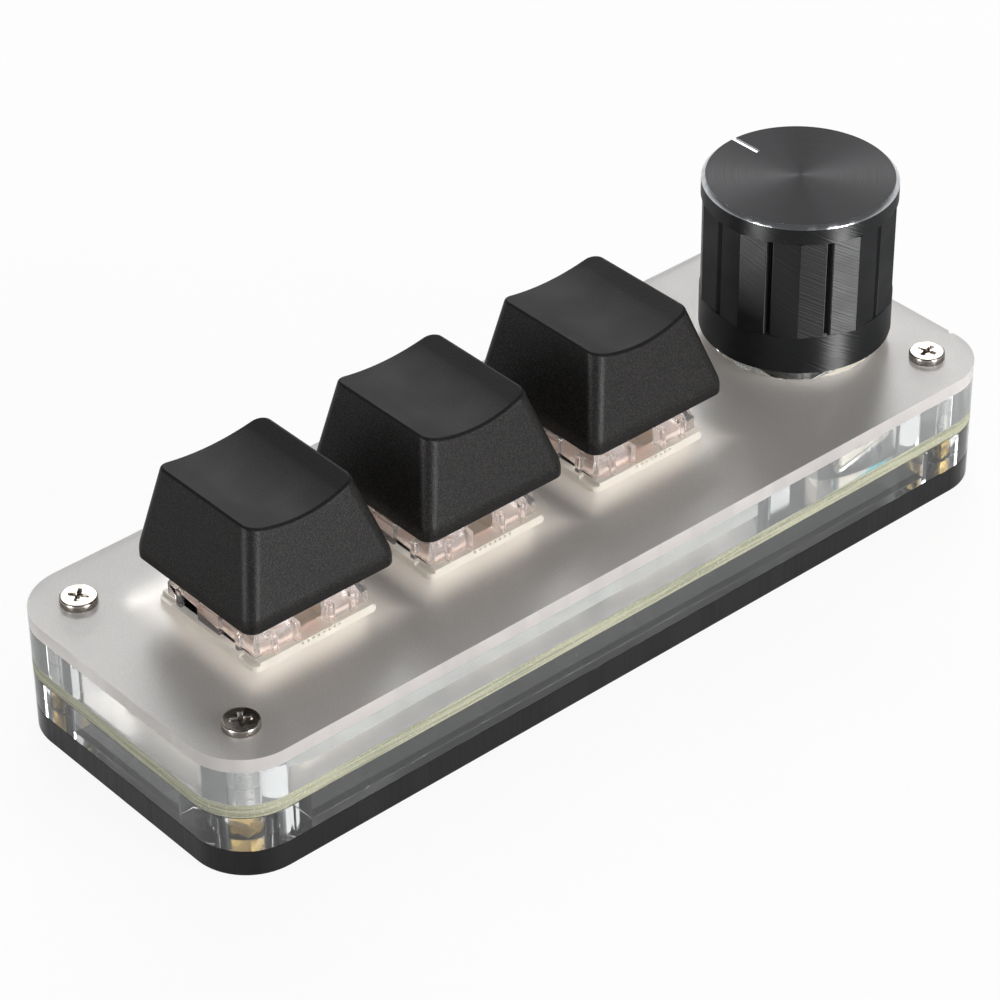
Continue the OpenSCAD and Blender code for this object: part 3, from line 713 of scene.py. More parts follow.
class KeypadColours(bpy.types.PropertyGroup):
    frosted: colour("Frosted sheet", "Colour of the top sheet", (0.46, 0.44, 0.425))
    # Painted glow: lighter colour, with a faint emission of it, painted round the switches and dial on
    # the frosted top
    painted_halo: colour("Painted halo", "Colour of the light scattered round the switches", (0.66, 0.62, 0.58))
    frosted_side: colour("Frosted sheet side", "Colour of the top sheet's cut side", (0.8, 0.76, 0.745))
    clear: colour("Clear sheet", "Tint of the clear sheets' cut sides", (0.93, 0.95, 0.95))
    black_sheet: colour("Black sheet", "Colour of the base sheet", (0.008, 0.008, 0.009))
    board_edge: colour("Board edge", "Colour of the board's cut edge", (0.5, 0.5, 0.36))
    board_face: colour("Board face", "Colour of the board's upper face", (0.4, 0.4, 0.385))
    keycap: colour("Keycap", "Colour of the keycaps", (0.007, 0.0068, 0.007))
    # Colour of the painted glints, the lighter points on the keycaps
    keycap_painted_glint: colour("Keycap painted glint", "Colour of the grain's points on the keycaps",
                         (0.027, 0.024, 0.022))
    knob: colour("Knob", "Colour of the anodised knob", (0.005, 0.0055, 0.0065))
    knob_top: colour("Knob top", "Colour of the knob's turned top", (0.0135, 0.0135, 0.0145))
    milky: colour("Switch housing", "Colour of the lower switch housings", (0.82, 0.77, 0.69))
    cover: colour("Switch cover", "Tint of the clear switch covers", (0.97, 0.9, 0.88))
    stem: colour("Stem", "Colour of the switches' stems", (0.55, 0.2, 0.1))
    teal: colour("Encoder body", "Colour of the encoder's plastic body", (0.02, 0.3, 0.33))
    nickel: colour("Screws", "Colour of the screws' nickel plating", (0.4, 0.365, 0.33))
    encoder: colour("Encoder upper body", "Colour of the encoder's body above its foot",
                    (0.5, 0.45, 0.38))
    floor: colour("Floor", "Colour of the floor", (0.93, 0.93, 0.93))


class KeypadStage(bpy.types.PropertyGroup):
    camera_place: bpy.props.FloatVectorProperty(
        name="Camera place", description="Where the camera stands",
        default=(-0.2110, -0.23982, 0.24265), size=3, precision=5, subtype="TRANSLATION", unit="LENGTH")
    heading: turn("Heading", "Direction that the camera looks in, from +X", 49.056)
    dip: turn("Dip", "Angle that the camera looks down by", 35.943)
    roll: turn("Roll", "Turn of the camera about its own line of sight", -0.580)
    lens: bpy.props.FloatProperty(
        name="Lens", description="Focal length of the camera", default=136.51, min=50, max=300,
        unit="CAMERA")
    back_light: power("Back light", "Power of the wide lamp behind the keypad", 2.7)
    strip_light: power("Strip lights", "Power that the two upright strip lamps are set by", 4)
    front_light: power("Front light", "Power of the low soft lamp in front", 2.9)
    top_light: power("Top light", "Power of the soft lamp overhead", 1.5)


# Pieces


def settings():
    """The panel's sizes, colours and stage."""
    scene = bpy.context.scene
    return scene.keypad_sizes, scene.keypad_colours, scene.keypad_stage


def sheet(name, node_name, sizes):
    """A rounded sheet on a CAD node's place, with a little air above and below it."""
    lo, hi = low(node_name), high(node_name)
    piece = block(name, lo + Vector((0, 0, AIR)), hi - Vector((0, 0, AIR)))
    return round_corners(piece, sizes.corner, steps=16)


def rounded_block(name, lo, hi, radius, steps=6):
    """A rectangular block with round upright edges."""
    return round_corners(block(name, lo, hi), radius, steps)


def corner_holes(piece, node_name, radius):
    """Drills the four screw holes through a sheet."""
    z0, z1 = low(node_name).z - PAST, high(node_name).z + PAST
    cut(piece, *[disc("drill", screw_at(i), radius, z0, z1, 40) for i in CORNERS])


class KEYPAD_OT_base(bpy.types.Operator):
    """Black base sheet with counterbored screw holes"""
    bl_idname = "keypad.base"
    bl_label = "Base sheet"

    def execute(self, context):
        sizes, colours, _ = settings()
        piece = sheet("black_base", "base_plate", sizes)
        corner_holes(piece, "base_plate", SCREW_HOLE)
        lo, seat_depth, play = low("base_plate").z, 0.9 * MM, 0.1 * MM
        for i in CORNERS:
            seat = high(f"base_screw_{i}").x - middle(f"base_screw_{i}").x + play
            cut(piece, disc("seat", screw_at(i), seat, lo - PAST, lo + seat_depth, 48))
        soften(piece, sizes.sheet_edge * 1.4)
        finish_piece(piece, "case", ["base_plate"], "black_acrylic", black_sheet(colours))
        return {"FINISHED"}


class KEYPAD_OT_spacer(bpy.types.Operator):
    """Clear spacer with solid corners round the standoffs and a slot for the socket"""
    bl_idname = "keypad.spacer"
    bl_label = "Clear spacer"

    def execute(self, context):
        sizes, colours, _ = settings()
        piece = sheet("clear_spacer", "spacer_frame", sizes)
        lo, hi = low("spacer_frame"), high("spacer_frame")
        wall, pad, pad_round = 2.2 * MM, 10 * MM, 2 * MM
        play, slot_play = 0.1 * MM, 0.2 * MM
        z0, z1 = lo.z - PAST, hi.z + PAST
        room = rounded_block("room", (lo.x + wall, lo.y + wall, z0), (hi.x - wall, hi.y - wall, z1),
                             sizes.corner - wall)
        for i in CORNERS:
            x, y = screw_at(i)
            sx, sy = math.copysign(1, x), math.copysign(1, y)
            inner = Vector((sx * (hi.x - pad), sy * (hi.y - pad)))
            outer = Vector((sx * (hi.x + pad), sy * (hi.y + pad)))
            near = (min(inner.x, outer.x), min(inner.y, outer.y), z0 - PAST)
            far = (max(inner.x, outer.x), max(inner.y, outer.y), z1 + PAST)
            cut(room, rounded_block("pad", near, far, pad_round))
        cut(piece, room)
        standoff = (high("standoff_1").x - low("standoff_1").x) / 2 + play
        corner_holes(piece, "spacer_frame", standoff)
        shell_lo, shell_hi = low("socket_shell"), high("socket_shell")
        cut(piece, block("slot", (shell_lo.x - slot_play, hi.y - wall - PAST, z0),
                         (shell_hi.x + slot_play, hi.y + PAST, z1)))
        soften(piece, sizes.sheet_edge)
        paint(piece, 1, is_outside)
        finish_piece(piece, "case", ["spacer_frame"], "clear_acrylic", clear_face(),
                     clear_edge("clear spacer edge", colours.clear, 0.02, 0.97))
        return {"FINISHED"}


class KEYPAD_OT_board(bpy.types.Operator):
    """Circuit board with its drilled holes, plies and coated faces"""
    bl_idname = "keypad.board"
    bl_label = "Circuit board"

    def execute(self, context):
        _, colours, _ = settings()
        piece = cad_copy("circuit_board", "board")
        soften(piece, 0.05 * MM, 1)
        paint(piece, 1, lambda f: f.normal.z > 0.5)
        paint(piece, 2, lambda f: f.normal.z < -0.5)
        half_way = middle("circuit_board").z
        for vertex in piece.data.vertices:
            vertex.co.z += AIR if vertex.co.z < half_way else -AIR
        finish_piece(piece, "case", ["circuit_board"], "board", board_edge(colours),
                     solder_mask("board upper face", colours.board_face),
                     solder_mask("board lower face", (0.012, 0.014, 0.013)))
        return {"FINISHED"}


class KEYPAD_OT_clear_frame(bpy.types.Operator):
    """Clear frame with the keys' window and the hole under the dial"""
    bl_idname = "keypad.clear_frame"
    bl_label = "Clear frame"

    def execute(self, context):
        sizes, colours, _ = settings()
        piece = sheet("clear_frame", "switch_frame", sizes)
        z0, z1 = low("switch_frame").z - PAST, high("switch_frame").z + PAST
        side, half, window_round = 10.9 * MM, 13.5 * MM, 4 * MM
        cut(piece, rounded_block("window", (key_x(1) - side, -half, z0),
                                 (key_x(3) + side, half, z1), window_round, 10))
        cut(piece, disc("hole", (DIAL_X, 0), HUB_HOLE, z0, z1, 96))
        corner_holes(piece, "switch_frame", SCREW_HOLE)
        soften(piece, sizes.sheet_edge)
        paint(piece, 1, is_outside)
        finish_piece(piece, "case", ["switch_frame"], "clear_acrylic", clear_face(),
                     clear_edge("clear frame edge", colours.clear, 0.02, 0.79))
        return {"FINISHED"}


class KEYPAD_OT_top(bpy.types.Operator):
    """Frosted top sheet with the switches' square holes and the dial's round hole"""
    bl_idname = "keypad.top"
    bl_label = "Frosted top sheet"

    def execute(self, context):
        sizes, colours, _ = settings()
        piece = sheet("frosted_top", "top_plate", sizes)
        z0, z1 = low("top_plate").z - PAST, high("top_plate").z + PAST
        half, nick_y, nick = 7 * MM, -11.4 * MM, 0.3 * MM
        for key in KEYS:
            x = key_x(key)
            cut(piece, block("square", (x - half, -half, z0), (x + half, half, z1)))
        cut(piece, disc("hole", (DIAL_X, 0), HUB_HOLE, z0, z1, 96))
        cut(piece, disc("nick", (high("top_plate").x, nick_y), nick, z0, z1, 20))
        corner_holes(piece, "top_plate", SCREW_HOLE)
        soften(piece, sizes.sheet_edge * 1.3)
        paint(piece, 1, is_side)
        finish_piece(piece, "case", ["top_plate"], "frosted_acrylic", frosted_top(colours),
                     clear_edge("frosted sheet edge", colours.frosted_side, 0.28, 0.35))
        return {"FINISHED"}


class KEYPAD_OT_standoffs(bpy.types.Operator):
    """Brass standoffs with chamfered hexagons"""
    bl_idname = "keypad.standoffs"
    bl_label = "Standoffs"

    def execute(self, context):
        brass = metal("turned brass", (0.83, 0.58, 0.22), 0.16, 0.12, Anisotropic=0.3)
        lo, hi = low("standoff_1"), high("standoff_1")
        radius, bore, edge = (hi.x - lo.x) / 2, 1.05 * MM, 0.12 * MM
        first = disc("standoff_one", (0, 0), radius, lo.z + AIR, hi.z - AIR, 6, math.radians(30))
        round_corners(first, edge, 2)
        cut(first, disc("bore", (0, 0), bore, lo.z - PAST, hi.z + PAST, 32))
        soften(first, edge, 1)
        for i in CORNERS:
            x, y = screw_at(i)
            piece = twin(first, f"brass_standoff_{i}", (x, y, 0))
            finish_piece(piece, "case", [f"standoff_{i}"], "brass", brass)
        bpy.data.objects.remove(first, do_unlink=True)
        return {"FINISHED"}


def screw(name, head_radius, head_height, length, pitch):
    """Cross-recessed screw, its head standing on z = 0 and its thread going down."""
    top = head_height + PAST
    head_round, edge = 0.22 * MM, 0.035 * MM
    arm_long, arm_wide, arm_floor = 1.3 * MM, 0.33 * MM, 0.26 * MM
    pit_low, pit_top, pit_floor = 0.2 * MM, 0.62 * MM, 0.22 * MM
    core, crest, plain_end = 0.8 * MM, 0.99 * MM, 0.8 * MM
    head = disc(name, (0, 0), head_radius, 0, head_height, 64)
    pick(head, "EDGE", lambda e: min(v.co.z for v in e.verts) > 0.9 * head_height)
    bpy.ops.mesh.bevel(offset=head_round, segments=4, affect="EDGES")
    done()
    for turned in (0, math.pi / 2):
        arm = block("arm", (-arm_long, -arm_wide, arm_floor), (arm_long, arm_wide, top))
        pick(arm, "FACE", lambda f: f.normal.z < -0.9)
        bpy.ops.transform.resize(value=(0.62, 0.55, 1))
        done()
        arm.data.transform(Matrix.Rotation(turned, 4, "Z"))
        cut(head, arm)
    cut(head, disc("centre", (0, 0), pit_low, pit_floor, top, 20, top_radius=pit_top))
    soften(head, edge, 2)
    bpy.ops.object.select_all(action="DESELECT")
    bpy.ops.mesh.primitive_plane_add(size=1)
    thread = bpy.context.active_object
    profile = ((core, -0.42), (crest, -0.06), (crest, 0.06), (core, 0.42))
    for vertex, (r, z) in zip(thread.data.vertices, profile):
        vertex.co = (r, 0, z * pitch - length + 0.6 * pitch)
    pick(thread, "FACE", lambda f: True)
    bpy.ops.mesh.delete(type="ONLY_FACE")
    done()
    turns = int((length - plain_end) / pitch)
    apply(thread, "SCREW", angle=2 * math.pi, screw_offset=pitch, iterations=turns, steps=20,
          render_steps=20, use_merge_vertices=True, merge_threshold=0.002 * MM)
    shank = disc("shank", (0, 0), core + 0.01 * MM, -length, 0.1 * MM, 20)
    return join(head, thread, shank)


class KEYPAD_OT_screws(bpy.types.Operator):
    """Thin-headed screws above and below"""
    bl_idname = "keypad.screws"
    bl_label = "Screws"

    def execute(self, context):
        sizes, colours, _ = settings()
        nickel = metal("nickel plate", colours.nickel, 0.2, 0.1, grain=2600, depth=0.008)
        seat, below_turn = low("base_screw_1").z + 0.8 * MM, 31
        rows = (("top_screw", "screw", high("top_plate").z, 1, (58, 12, 40, 75)),
                ("base_screw", "lower_screw", seat, -1, [below_turn * i for i in CORNERS]))
        for node_name, name, stand, way, turns in rows:
            lo, hi = low(f"{node_name}_1"), high(f"{node_name}_1")
            head, thread = (hi.z - stand, stand - lo.z)[::way]
            first = screw("first_screw", (hi.x - lo.x) / 2, head, thread, sizes.thread)
            if way < 0:
                first.data.transform(Matrix.Rotation(math.pi, 4, "X"))
            for i, degrees in zip(CORNERS, turns):
                x, y = screw_at(i)
                piece = twin(first, f"{name}_{i}", (x, y, stand), math.radians(degrees))
                finish_piece(piece, "case", [f"{node_name}_{i}"], "screw_steel", nickel)
            bpy.data.objects.remove(first, do_unlink=True)
        return {"FINISHED"}


class KEYPAD_OT_housings(bpy.types.Operator):
    """Milky lower switch housings"""
    bl_idname = "keypad.housings"
    bl_label = "Switch housings"

    def execute(self, context):
        _, colours, _ = settings()
        milky = plastic("milky housing", colours.milky, 0.28, 0.1, shade=0.95, IOR=1.5,
                        Subsurface_Weight=0.25, Subsurface_Scale=0.8 * MM)
        shader = milky.node_tree.nodes["Principled BSDF"].inputs
        shader["Subsurface Radius"].default_value = (1, 0.8, 0.6)
        # Painted glow: a faint emission in the housing's own colour makes the milky plastic shine
        # though it is no lamp
        shader["Emission Color"].default_value = rgba(colours.milky)
        shader["Emission Strength"].default_value = 0.06
        slit, slit_low, slit_high = 0.3 * MM, 0.45 * MM, 0.15 * MM
        slit_pitch, slit_start = 0.66, 2.0
        step_x, step_y, step_z = 0.7 * MM, 2.4 * MM, 0.35 * MM
        for key in KEYS:
            node_name = f"switch_base_{key}"
            piece = cad_copy(node_name, f"housing_{key}")
            front, top = low(node_name).y, high(node_name).z
            for place in range(8):
                x = key_x(key) + (place * slit_pitch - slit_start) * MM
                cut(piece, block("slit", (x, front - PAST, top - slit_low),
                                 (x + slit, front + slit, top - slit_high)))
            for sx in (-1, 1):
                for sy in (-1, 1):
                    corner = Vector((key_x(key) + sx * FLANGE, sy * FLANGE))
                    inner = corner - Vector((sx * step_x, sy * step_y))
                    lo = (min(corner.x, inner.x) - (sx < 0) * PAST,
                          min(corner.y, inner.y) - (sy < 0) * PAST, top - step_z)
                    hi = (max(corner.x, inner.x) + (sx > 0) * PAST,
                          max(corner.y, inner.y) + (sy > 0) * PAST, top + PAST)
                    cut(piece, block("step", lo, hi))
            soften(piece, 0.08 * MM, 2)
            finish_piece(piece, "case", [node_name], "milky_plastic", milky)
        return {"FINISHED"}


class KEYPAD_OT_covers(bpy.types.Operator):
    """Clear switch covers with their moulded ribs"""
    bl_idname = "keypad.covers"
    bl_label = "Switch covers"

    def execute(self, context):
        _, colours, _ = settings()
        clear = plastic("clear cover", colours.cover, 0.075, 0.05, grain=1800, depth=0.006, shade=0.97,
                        IOR=1.52, Transmission_Weight=0.86)
        let_lamps_through(clear.node_tree)
        # Each in millimetres: how far it goes in and out, its half width, its height and its places
        latch = (0.4, 0.4, 1.7, 2.3, (0,))
        side_rib = (0.5, 0.22, 0.35, 1.9, (-4.7, 4.7))
        front_rib = (0.5, 0.25, 0.3, 2.2, (-4.9, -2.15, 2.15, 4.9))
        for key in KEYS:
            node_name = f"switch_cover_{key}"
            piece = cad_copy(node_name, f"cover_{key}")
            x, z = key_x(key), low(node_name).z
            half = (high(node_name).x - low(node_name).x) / 2
            for sign in (-1, 1):
                for inward, outward, wide, tall, places in (latch, side_rib):
                    for place in places:
                        lo = (x + sign * half - inward * MM, (place - wide) * MM, z)
                        hi = (x + sign * half + outward * MM, (place + wide) * MM, z + tall * MM)
                        union(piece, block("rib", lo, hi))
                inward, outward, wide, tall, places = front_rib
                for place in places:
                    lo = (x + (place - wide) * MM, sign * half - inward * MM, z)
                    hi = (x + (place + wide) * MM, sign * half + outward * MM, z + tall * MM)
                    union(piece, block("rib", lo, hi))
            soften(piece, 0.1 * MM, 2)
            finish_piece(piece, "case", [node_name], "clear_plastic", clear)
        return {"FINISHED"}


class KEYPAD_OT_inner_parts(bpy.types.Operator):
    """Stems, contacts and springs of the switches"""
    bl_idname = "keypad.inner_parts"
    bl_label = "Stems, contacts and springs"

    def execute(self, context):
        _, colours, _ = settings()
        amber = plastic("stem plastic", colours.stem, 0.32, 0.1, IOR=1.5)
        copper = metal("contact copper", (0.9, 0.5, 0.26), 0.22)
        steel = metal("spring wire", (0.72, 0.72, 0.73), 0.24, grain=9000)
        for key in KEYS:
            dress(f"switch_stem_{key}", f"stem_{key}", 0.08, f"key_{key}", "stem_plastic", amber)
            dress(f"switch_contacts_{key}", f"contacts_{key}", 0.04, "case", "contact_metal", copper, 1)
            name = f"switch_spring_{key}"
            spring = cad_copy(name, f"spring_{key}")
            bpy.ops.object.shade_smooth()
            finish_piece(spring, "case", [name], "spring_steel", steel)
            shorten(spring)
        return {"FINISHED"}


class KEYPAD_OT_keycaps(bpy.types.Operator):
    """Grained keycaps: a tapered shell with round edges and a hollowed top"""
    bl_idname = "keypad.keycaps"
    bl_label = "Keycaps"

    def execute(self, context):
        sizes, colours, _ = settings()
        lo, hi = low("keycap_1"), high("keycap_1")
        half = (hi.x - lo.x) / 2
        top_x, top_y, back = 6.6 * MM, 7.3 * MM, 0.9 * MM
        skirt, wall, height = 1.2 * MM, 1.3 * MM, hi.z - lo.z
        corner, skirt_round, near = 1.35 * MM, 0.5 * MM, 0.01 * MM
        # Strips that the top is cut into for its hollow, and the share of its width that they cover
        strips, cover = 20, 0.76
        # Share by which the hollow is deeper in front and shallower behind
        lean = 0.16
        post_radius, post_z, slot_depth, post_gap = 2.75 * MM, 0.75 * MM, 3.7 * MM, 0.1 * MM
        cap = block("first_cap", (-half, -half, 0), (half, half, skirt))
        pick(cap, "FACE", lambda f: f.normal.z > 0.9)
        bpy.ops.mesh.extrude_region_move(TRANSFORM_OT_translate={"value": (0, back, height - skirt)})
        bpy.ops.transform.resize(value=(top_x / half, top_y / half, 1),
                                 center_override=(0, back, height))
        done()
        round_corners(cap, corner, 8, lambda e: abs(e.verts[0].co.z - e.verts[1].co.z) > 0.1 * MM)
        for strip in range(1, strips):
            pick(cap, "FACE", lambda f: True)
            bpy.ops.mesh.bisect(plane_co=(top_x * (2 * strip / strips - 1) * cover, 0, 0),
                                plane_no=(1, 0, 0))
            done()
        slope = (half - (top_y - back)) / (height - skirt)
        back_slope = (half - (top_y + back)) / (height - skirt)
        for vertex in cap.data.vertices:
            if vertex.co.z > height - near:
                tilt = 1 - lean * (vertex.co.y - back) / top_y
                drop = sizes.cap_dish * tilt * max(0.0, 1 - (vertex.co.x / top_x) ** 2)
                vertex.co.z -= drop
                vertex.co.y += drop * (back_slope if vertex.co.y > 0 else -slope)
        pick(cap, "FACE", lambda f: f.normal.z > 0.8)
        bpy.ops.mesh.region_to_loop()
        bpy.ops.mesh.bevel(offset=sizes.cap_rim, segments=5, affect="EDGES", clamp_overlap=False)
        done()
        pick(cap, "EDGE", lambda e: all(abs(v.co.z - skirt) < near for v in e.verts))
        bpy.ops.mesh.bevel(offset=skirt_round, segments=3, affect="EDGES")
        done()
        pick(cap, "FACE", lambda f: f.normal.z < -0.9)
        bpy.ops.mesh.delete(type="FACE")
        bpy.ops.mesh.select_all(action="SELECT")
        bpy.ops.mesh.remove_doubles(threshold=0.002 * MM)
        bpy.ops.mesh.normals_make_consistent(inside=False)
        done()
        apply(cap, "SOLIDIFY", thickness=wall, offset=-1, use_even_offset=False)
        soften(cap, 0.0)
        post_top = height - sizes.cap_dish - wall - post_gap
        post = disc("post", (0, 0), post_radius, post_z, post_top, 40)
        for x, y in ((2.05 * MM, 0.6 * MM), (0.7 * MM, 2.05 * MM)):
            cut(post, block("slot", (-x, -y, post_z - PAST), (x, y, post_z + slot_depth)))
        soften(post, 0.06 * MM, 2)
        join(cap, post)
        skin = keycap_skin(colours)
        for key in KEYS:
            piece = twin(cap, f"cap_{key}", (key_x(key), 0, lo.z))
            finish_piece(piece, f"key_{key}", [f"keycap_{key}"], "keycap_plastic", skin)
        bpy.data.objects.remove(cap, do_unlink=True)
        return {"FINISHED"}


class KEYPAD_OT_encoder(bpy.types.Operator):
    """Encoder under the dial: body, bracket, terminals, bushing, dome, rotor and shaft"""
    bl_idname = "keypad.encoder"
    bl_label = "Encoder"

    def execute(self, context):
        _, colours, _ = settings()
        tin = metal("tinned steel", (0.78, 0.77, 0.74), 0.24, 0.16)
        rows = (
            ("encoder_base", "encoder_body", "case", "teal_plastic",
             encoder_plastic(colours), 0.12),
            ("encoder_bracket", "bracket", "case", "bracket_steel", tin, 0.08),
            ("encoder_terminals", "terminals", "case", "bracket_steel", tin, 0.05),
            ("encoder_bushing", "bushing", "case", "zinc",
             metal("cast zinc", (0.6, 0.6, 0.61), 0.32, 0.15), 0.1),
            ("encoder_dome", "dome", "case", "spring_steel",
             metal("dome steel", (0.74, 0.74, 0.73), 0.18), 0.01),
            ("encoder_rotor", "rotor", "dial_rotor", "black_plastic",
             plastic("rotor plastic", (0.02, 0.02, 0.02), 0.4), 0.08),
            ("encoder_shaft", "shaft", "dial", "shaft_metal",
             metal("turned shaft", (0.8, 0.8, 0.81), 0.2, Anisotropic=0.5), 0.12),
        )
        for node_name, name, body, slot, finish, edge in rows:
            piece = dress(node_name, name, edge, body, slot, finish)
            if name == "dome":
                shorten(piece)
        return {"FINISHED"}


class KEYPAD_OT_knob(bpy.types.Operator):
    """Turned knob with a ridged grip, a bright bevel and a milled mark"""
    bl_idname = "keypad.knob"
    bl_label = "Knob"

    def execute(self, context):
        sizes, colours, _ = settings()
        lo, hi = low("knob"), high("knob")
        axis = (DIAL_X, 0)
        foot_r, foot_h, foot_round = 10.45 * MM, 4.6 * MM, 0.3 * MM
        ridge, groove, drop = 10.7 * MM, 0.9 * MM, 0.35 * MM
        rim, rim_h, bevel = ridge - 0.15 * MM, 2.2 * MM, 0.42 * MM
        room, room_h, bore = 6 * MM, 2.8 * MM, 3.05 * MM
        hole, hole_long = 1.55 * MM, 12 * MM
        mark_half, paint_half, mark_long, mark_deep = 0.27 * MM, 0.26 * MM, 3.7 * MM, 0.12 * MM
        # Angle from a groove's middle to its edge
        edge = math.radians(2.0)
        # How far the rim and the foot reach into the grip, so that they join as one solid
        lap = 0.02 * MM
        foot = disc("dial_knob", axis, foot_r, lo.z, lo.z + foot_h + lap, 96)
        pick(foot, "EDGE", lambda e: max(v.co.z for v in e.verts) < lo.z + 0.1 * MM)
        bpy.ops.mesh.bevel(offset=foot_round, segments=3, affect="EDGES")
        done()
        count = sizes.ridges
        grip = disc("grip", axis, ridge, lo.z + foot_h, hi.z - rim_h, 4 * count)
        pitch = 2 * math.pi / count
        for vertex in grip.data.vertices:
            across = Vector((vertex.co.x - DIAL_X, vertex.co.y))
            if across.length < 1 * MM:
                continue
            place = round(math.atan2(across.y, across.x) / (pitch / 4))
            k, step = divmod(place, 4)
            angle = sizes.groove_turn + k * pitch + (0, edge, pitch / 2, pitch - edge)[step]
            r = (ridge - groove, ridge - drop, ridge, ridge - drop)[step]
            vertex.co.x = DIAL_X + r * math.cos(angle)
            vertex.co.y = r * math.sin(angle)
        soften(grip, 0.07 * MM, 2, angle=12)
        crown = disc("crown", axis, rim, hi.z - rim_h - lap, hi.z, 96)
        pick(crown, "EDGE", lambda e: min(v.co.z for v in e.verts) > hi.z - 0.1 * MM)
        bpy.ops.mesh.bevel(offset=bevel, segments=1, affect="EDGES")
        done()
        union(foot, grip, crown)
        cut(foot, disc("room", axis, room, lo.z - PAST, lo.z + room_h, 64),
            disc("bore", axis, bore, lo.z - PAST, high("encoder_shaft").z + 0.1 * MM, 48))
        screw_mid = middle("grub_screw")
        bpy.ops.object.select_all(action="DESELECT")
        bpy.ops.mesh.primitive_cylinder_add(
            vertices=40, radius=hole, depth=hole_long, rotation=(math.pi / 2, 0, 0),
            location=(DIAL_X, screw_mid.y + 5 * MM, screw_mid.z))
        cut(foot, settle(bpy.context.active_object))
        mark_y = rim - bevel - mark_long
        cut(foot, block("mark", (DIAL_X - mark_half, mark_y, hi.z - mark_deep),
                        (DIAL_X + mark_half, rim + PAST, hi.z + PAST)))
        soften(foot, 0.035 * MM, 1)
        paint(foot, 1, lambda f: f.normal.z > 0.95 and f.center.z > hi.z - 0.03 * MM)
        paint(foot, 2, lambda f: f.center.z > hi.z - bevel - 0.03 * MM and f.normal.z < 0.95)
        paint(foot, 2, lambda f: f.center.z > hi.z - mark_deep - lap
              and abs(f.center.x - DIAL_X) < paint_half and f.center.y > mark_y - 0.05 * MM)
        bright = metal("bright cut aluminium", (0.7, 0.72, 0.75), 0.14, 0.1, grain=2400, depth=0.03)
        finish_piece(foot, "dial", ["knob"], "black_anodised", anodised_side(colours),
                     anodised_top(colours), bright)
        dress("grub_screw", "set_screw", 0.06, "dial", "black_steel",
              metal("blackened steel", (0.1, 0.1, 0.105), 0.3))
        return {"FINISHED"}


class KEYPAD_OT_underside(bpy.types.Operator):
    """Socket, controller chip and small parts under the board"""
    bl_idname = "keypad.underside"
    bl_label = "Parts under the board"

    def execute(self, context):
        rows = (
            ("socket_shell", "socket", "socket_steel",
             metal("socket steel", (0.76, 0.77, 0.78), 0.2), 0.06),
            ("socket_tongue", "tongue", "black_plastic",
             plastic("tongue plastic", (0.015, 0.015, 0.015), 0.35), 0.05),
            ("controller_chip", "chip", "black_plastic",
             plastic("chip epoxy", (0.014, 0.014, 0.015), 0.5), 0.06),
            ("board_parts", "chip_parts", "ceramic_parts",
             plastic("chip ceramic", (0.35, 0.22, 0.12), 0.4), 0.05),
        )
        for node_name, name, slot, finish, edge in rows:
            dress(node_name, name, edge, "case", slot, finish)
        return {"FINISHED"}


# Stage


def lamp(name, power, width, tall, place, aim):
    """A soft rectangular lamp that faces a point."""
    data = bpy.data.lights.new(name, "AREA")
    data.energy = power
    data.shape = "RECTANGLE"
    data.size, data.size_y = width, tall
    item = bpy.data.objects.new(name, data)
    item.location = place
    item.rotation_euler = (Vector(aim) - Vector(place)).to_track_quat("-Z", "Y").to_euler()
    bpy.context.scene.collection.objects.link(item)
    return item


def towards(heading, elevation, distance):
    """A place at this heading from +X and this height angle, in degrees, round the keypad."""
    h, e = math.radians(heading), math.radians(elevation)
    return Vector((math.cos(h) * math.cos(e), math.sin(h) * math.cos(e), math.sin(e))) * distance


def floor_finish(colours):
    """Pale floor: shows the keypad's soft shadow, and is white to the camera elsewhere."""
    mat, tree, sock = material("pale floor", Roughness=0.6)
    sock["Base Color"].default_value = rgba(colours.floor)
    noise = use(tree, "fine grain", Scale=300.0)
    tree.links.new(bump(tree, noise["Height"], 0.1, 0.05), sock["Normal"])
    path = node(tree, "ShaderNodeLightPath").outputs
    mirrored = math_node(tree, "MULTIPLY", path["Is Glossy Ray"], 0.36)
    seen = math_node(tree, "MAXIMUM", path["Is Camera Ray"],
                     math_node(tree, "MAXIMUM", mirrored, path["Is Transmission Ray"]))
    glow = node(tree, "ShaderNodeEmission", {"Color": (1, 1, 1, 1), "Strength": 1.0})
    mix = node(tree, "ShaderNodeMixShader", {0: math_node(tree, "MULTIPLY", seen, 0.9),
                                            1: tree.nodes["Principled BSDF"].outputs[0],
                                            2: glow.outputs[0]})
    tree.links.new(mix.outputs[0], tree.nodes["Material Output"].inputs["Surface"])
    return mat


def studio():
    """World that is white to the camera, and a room that darkens upwards in reflections."""
    world = bpy.data.worlds.new("studio")
    world.use_nodes = True
    tree = world.node_tree
    path = node(tree, "ShaderNodeLightPath").outputs
    place = node(tree, "ShaderNodeTexCoord").outputs["Generated"]
    sky = node(tree, "ShaderNodeSeparateXYZ", {0: place})
    room = ramp(tree, sky.outputs[2], 0.12, 0.6, 0.8, 0.1)
    mirrored = math_node(tree, "MAXIMUM", path["Is Glossy Ray"], path["Is Transmission Ray"])
    strength = math_node(tree, "MAXIMUM", path["Is Camera Ray"],
                         math_node(tree, "MAXIMUM", math_node(tree, "MULTIPLY", mirrored, room),
                                   math_node(tree, "MULTIPLY", path["Is Diffuse Ray"], 0.32)))
    tree.nodes["Background"].inputs["Color"].default_value = (1, 1, 1, 1)
    tree.links.new(strength, tree.nodes["Background"].inputs["Strength"])
    return world


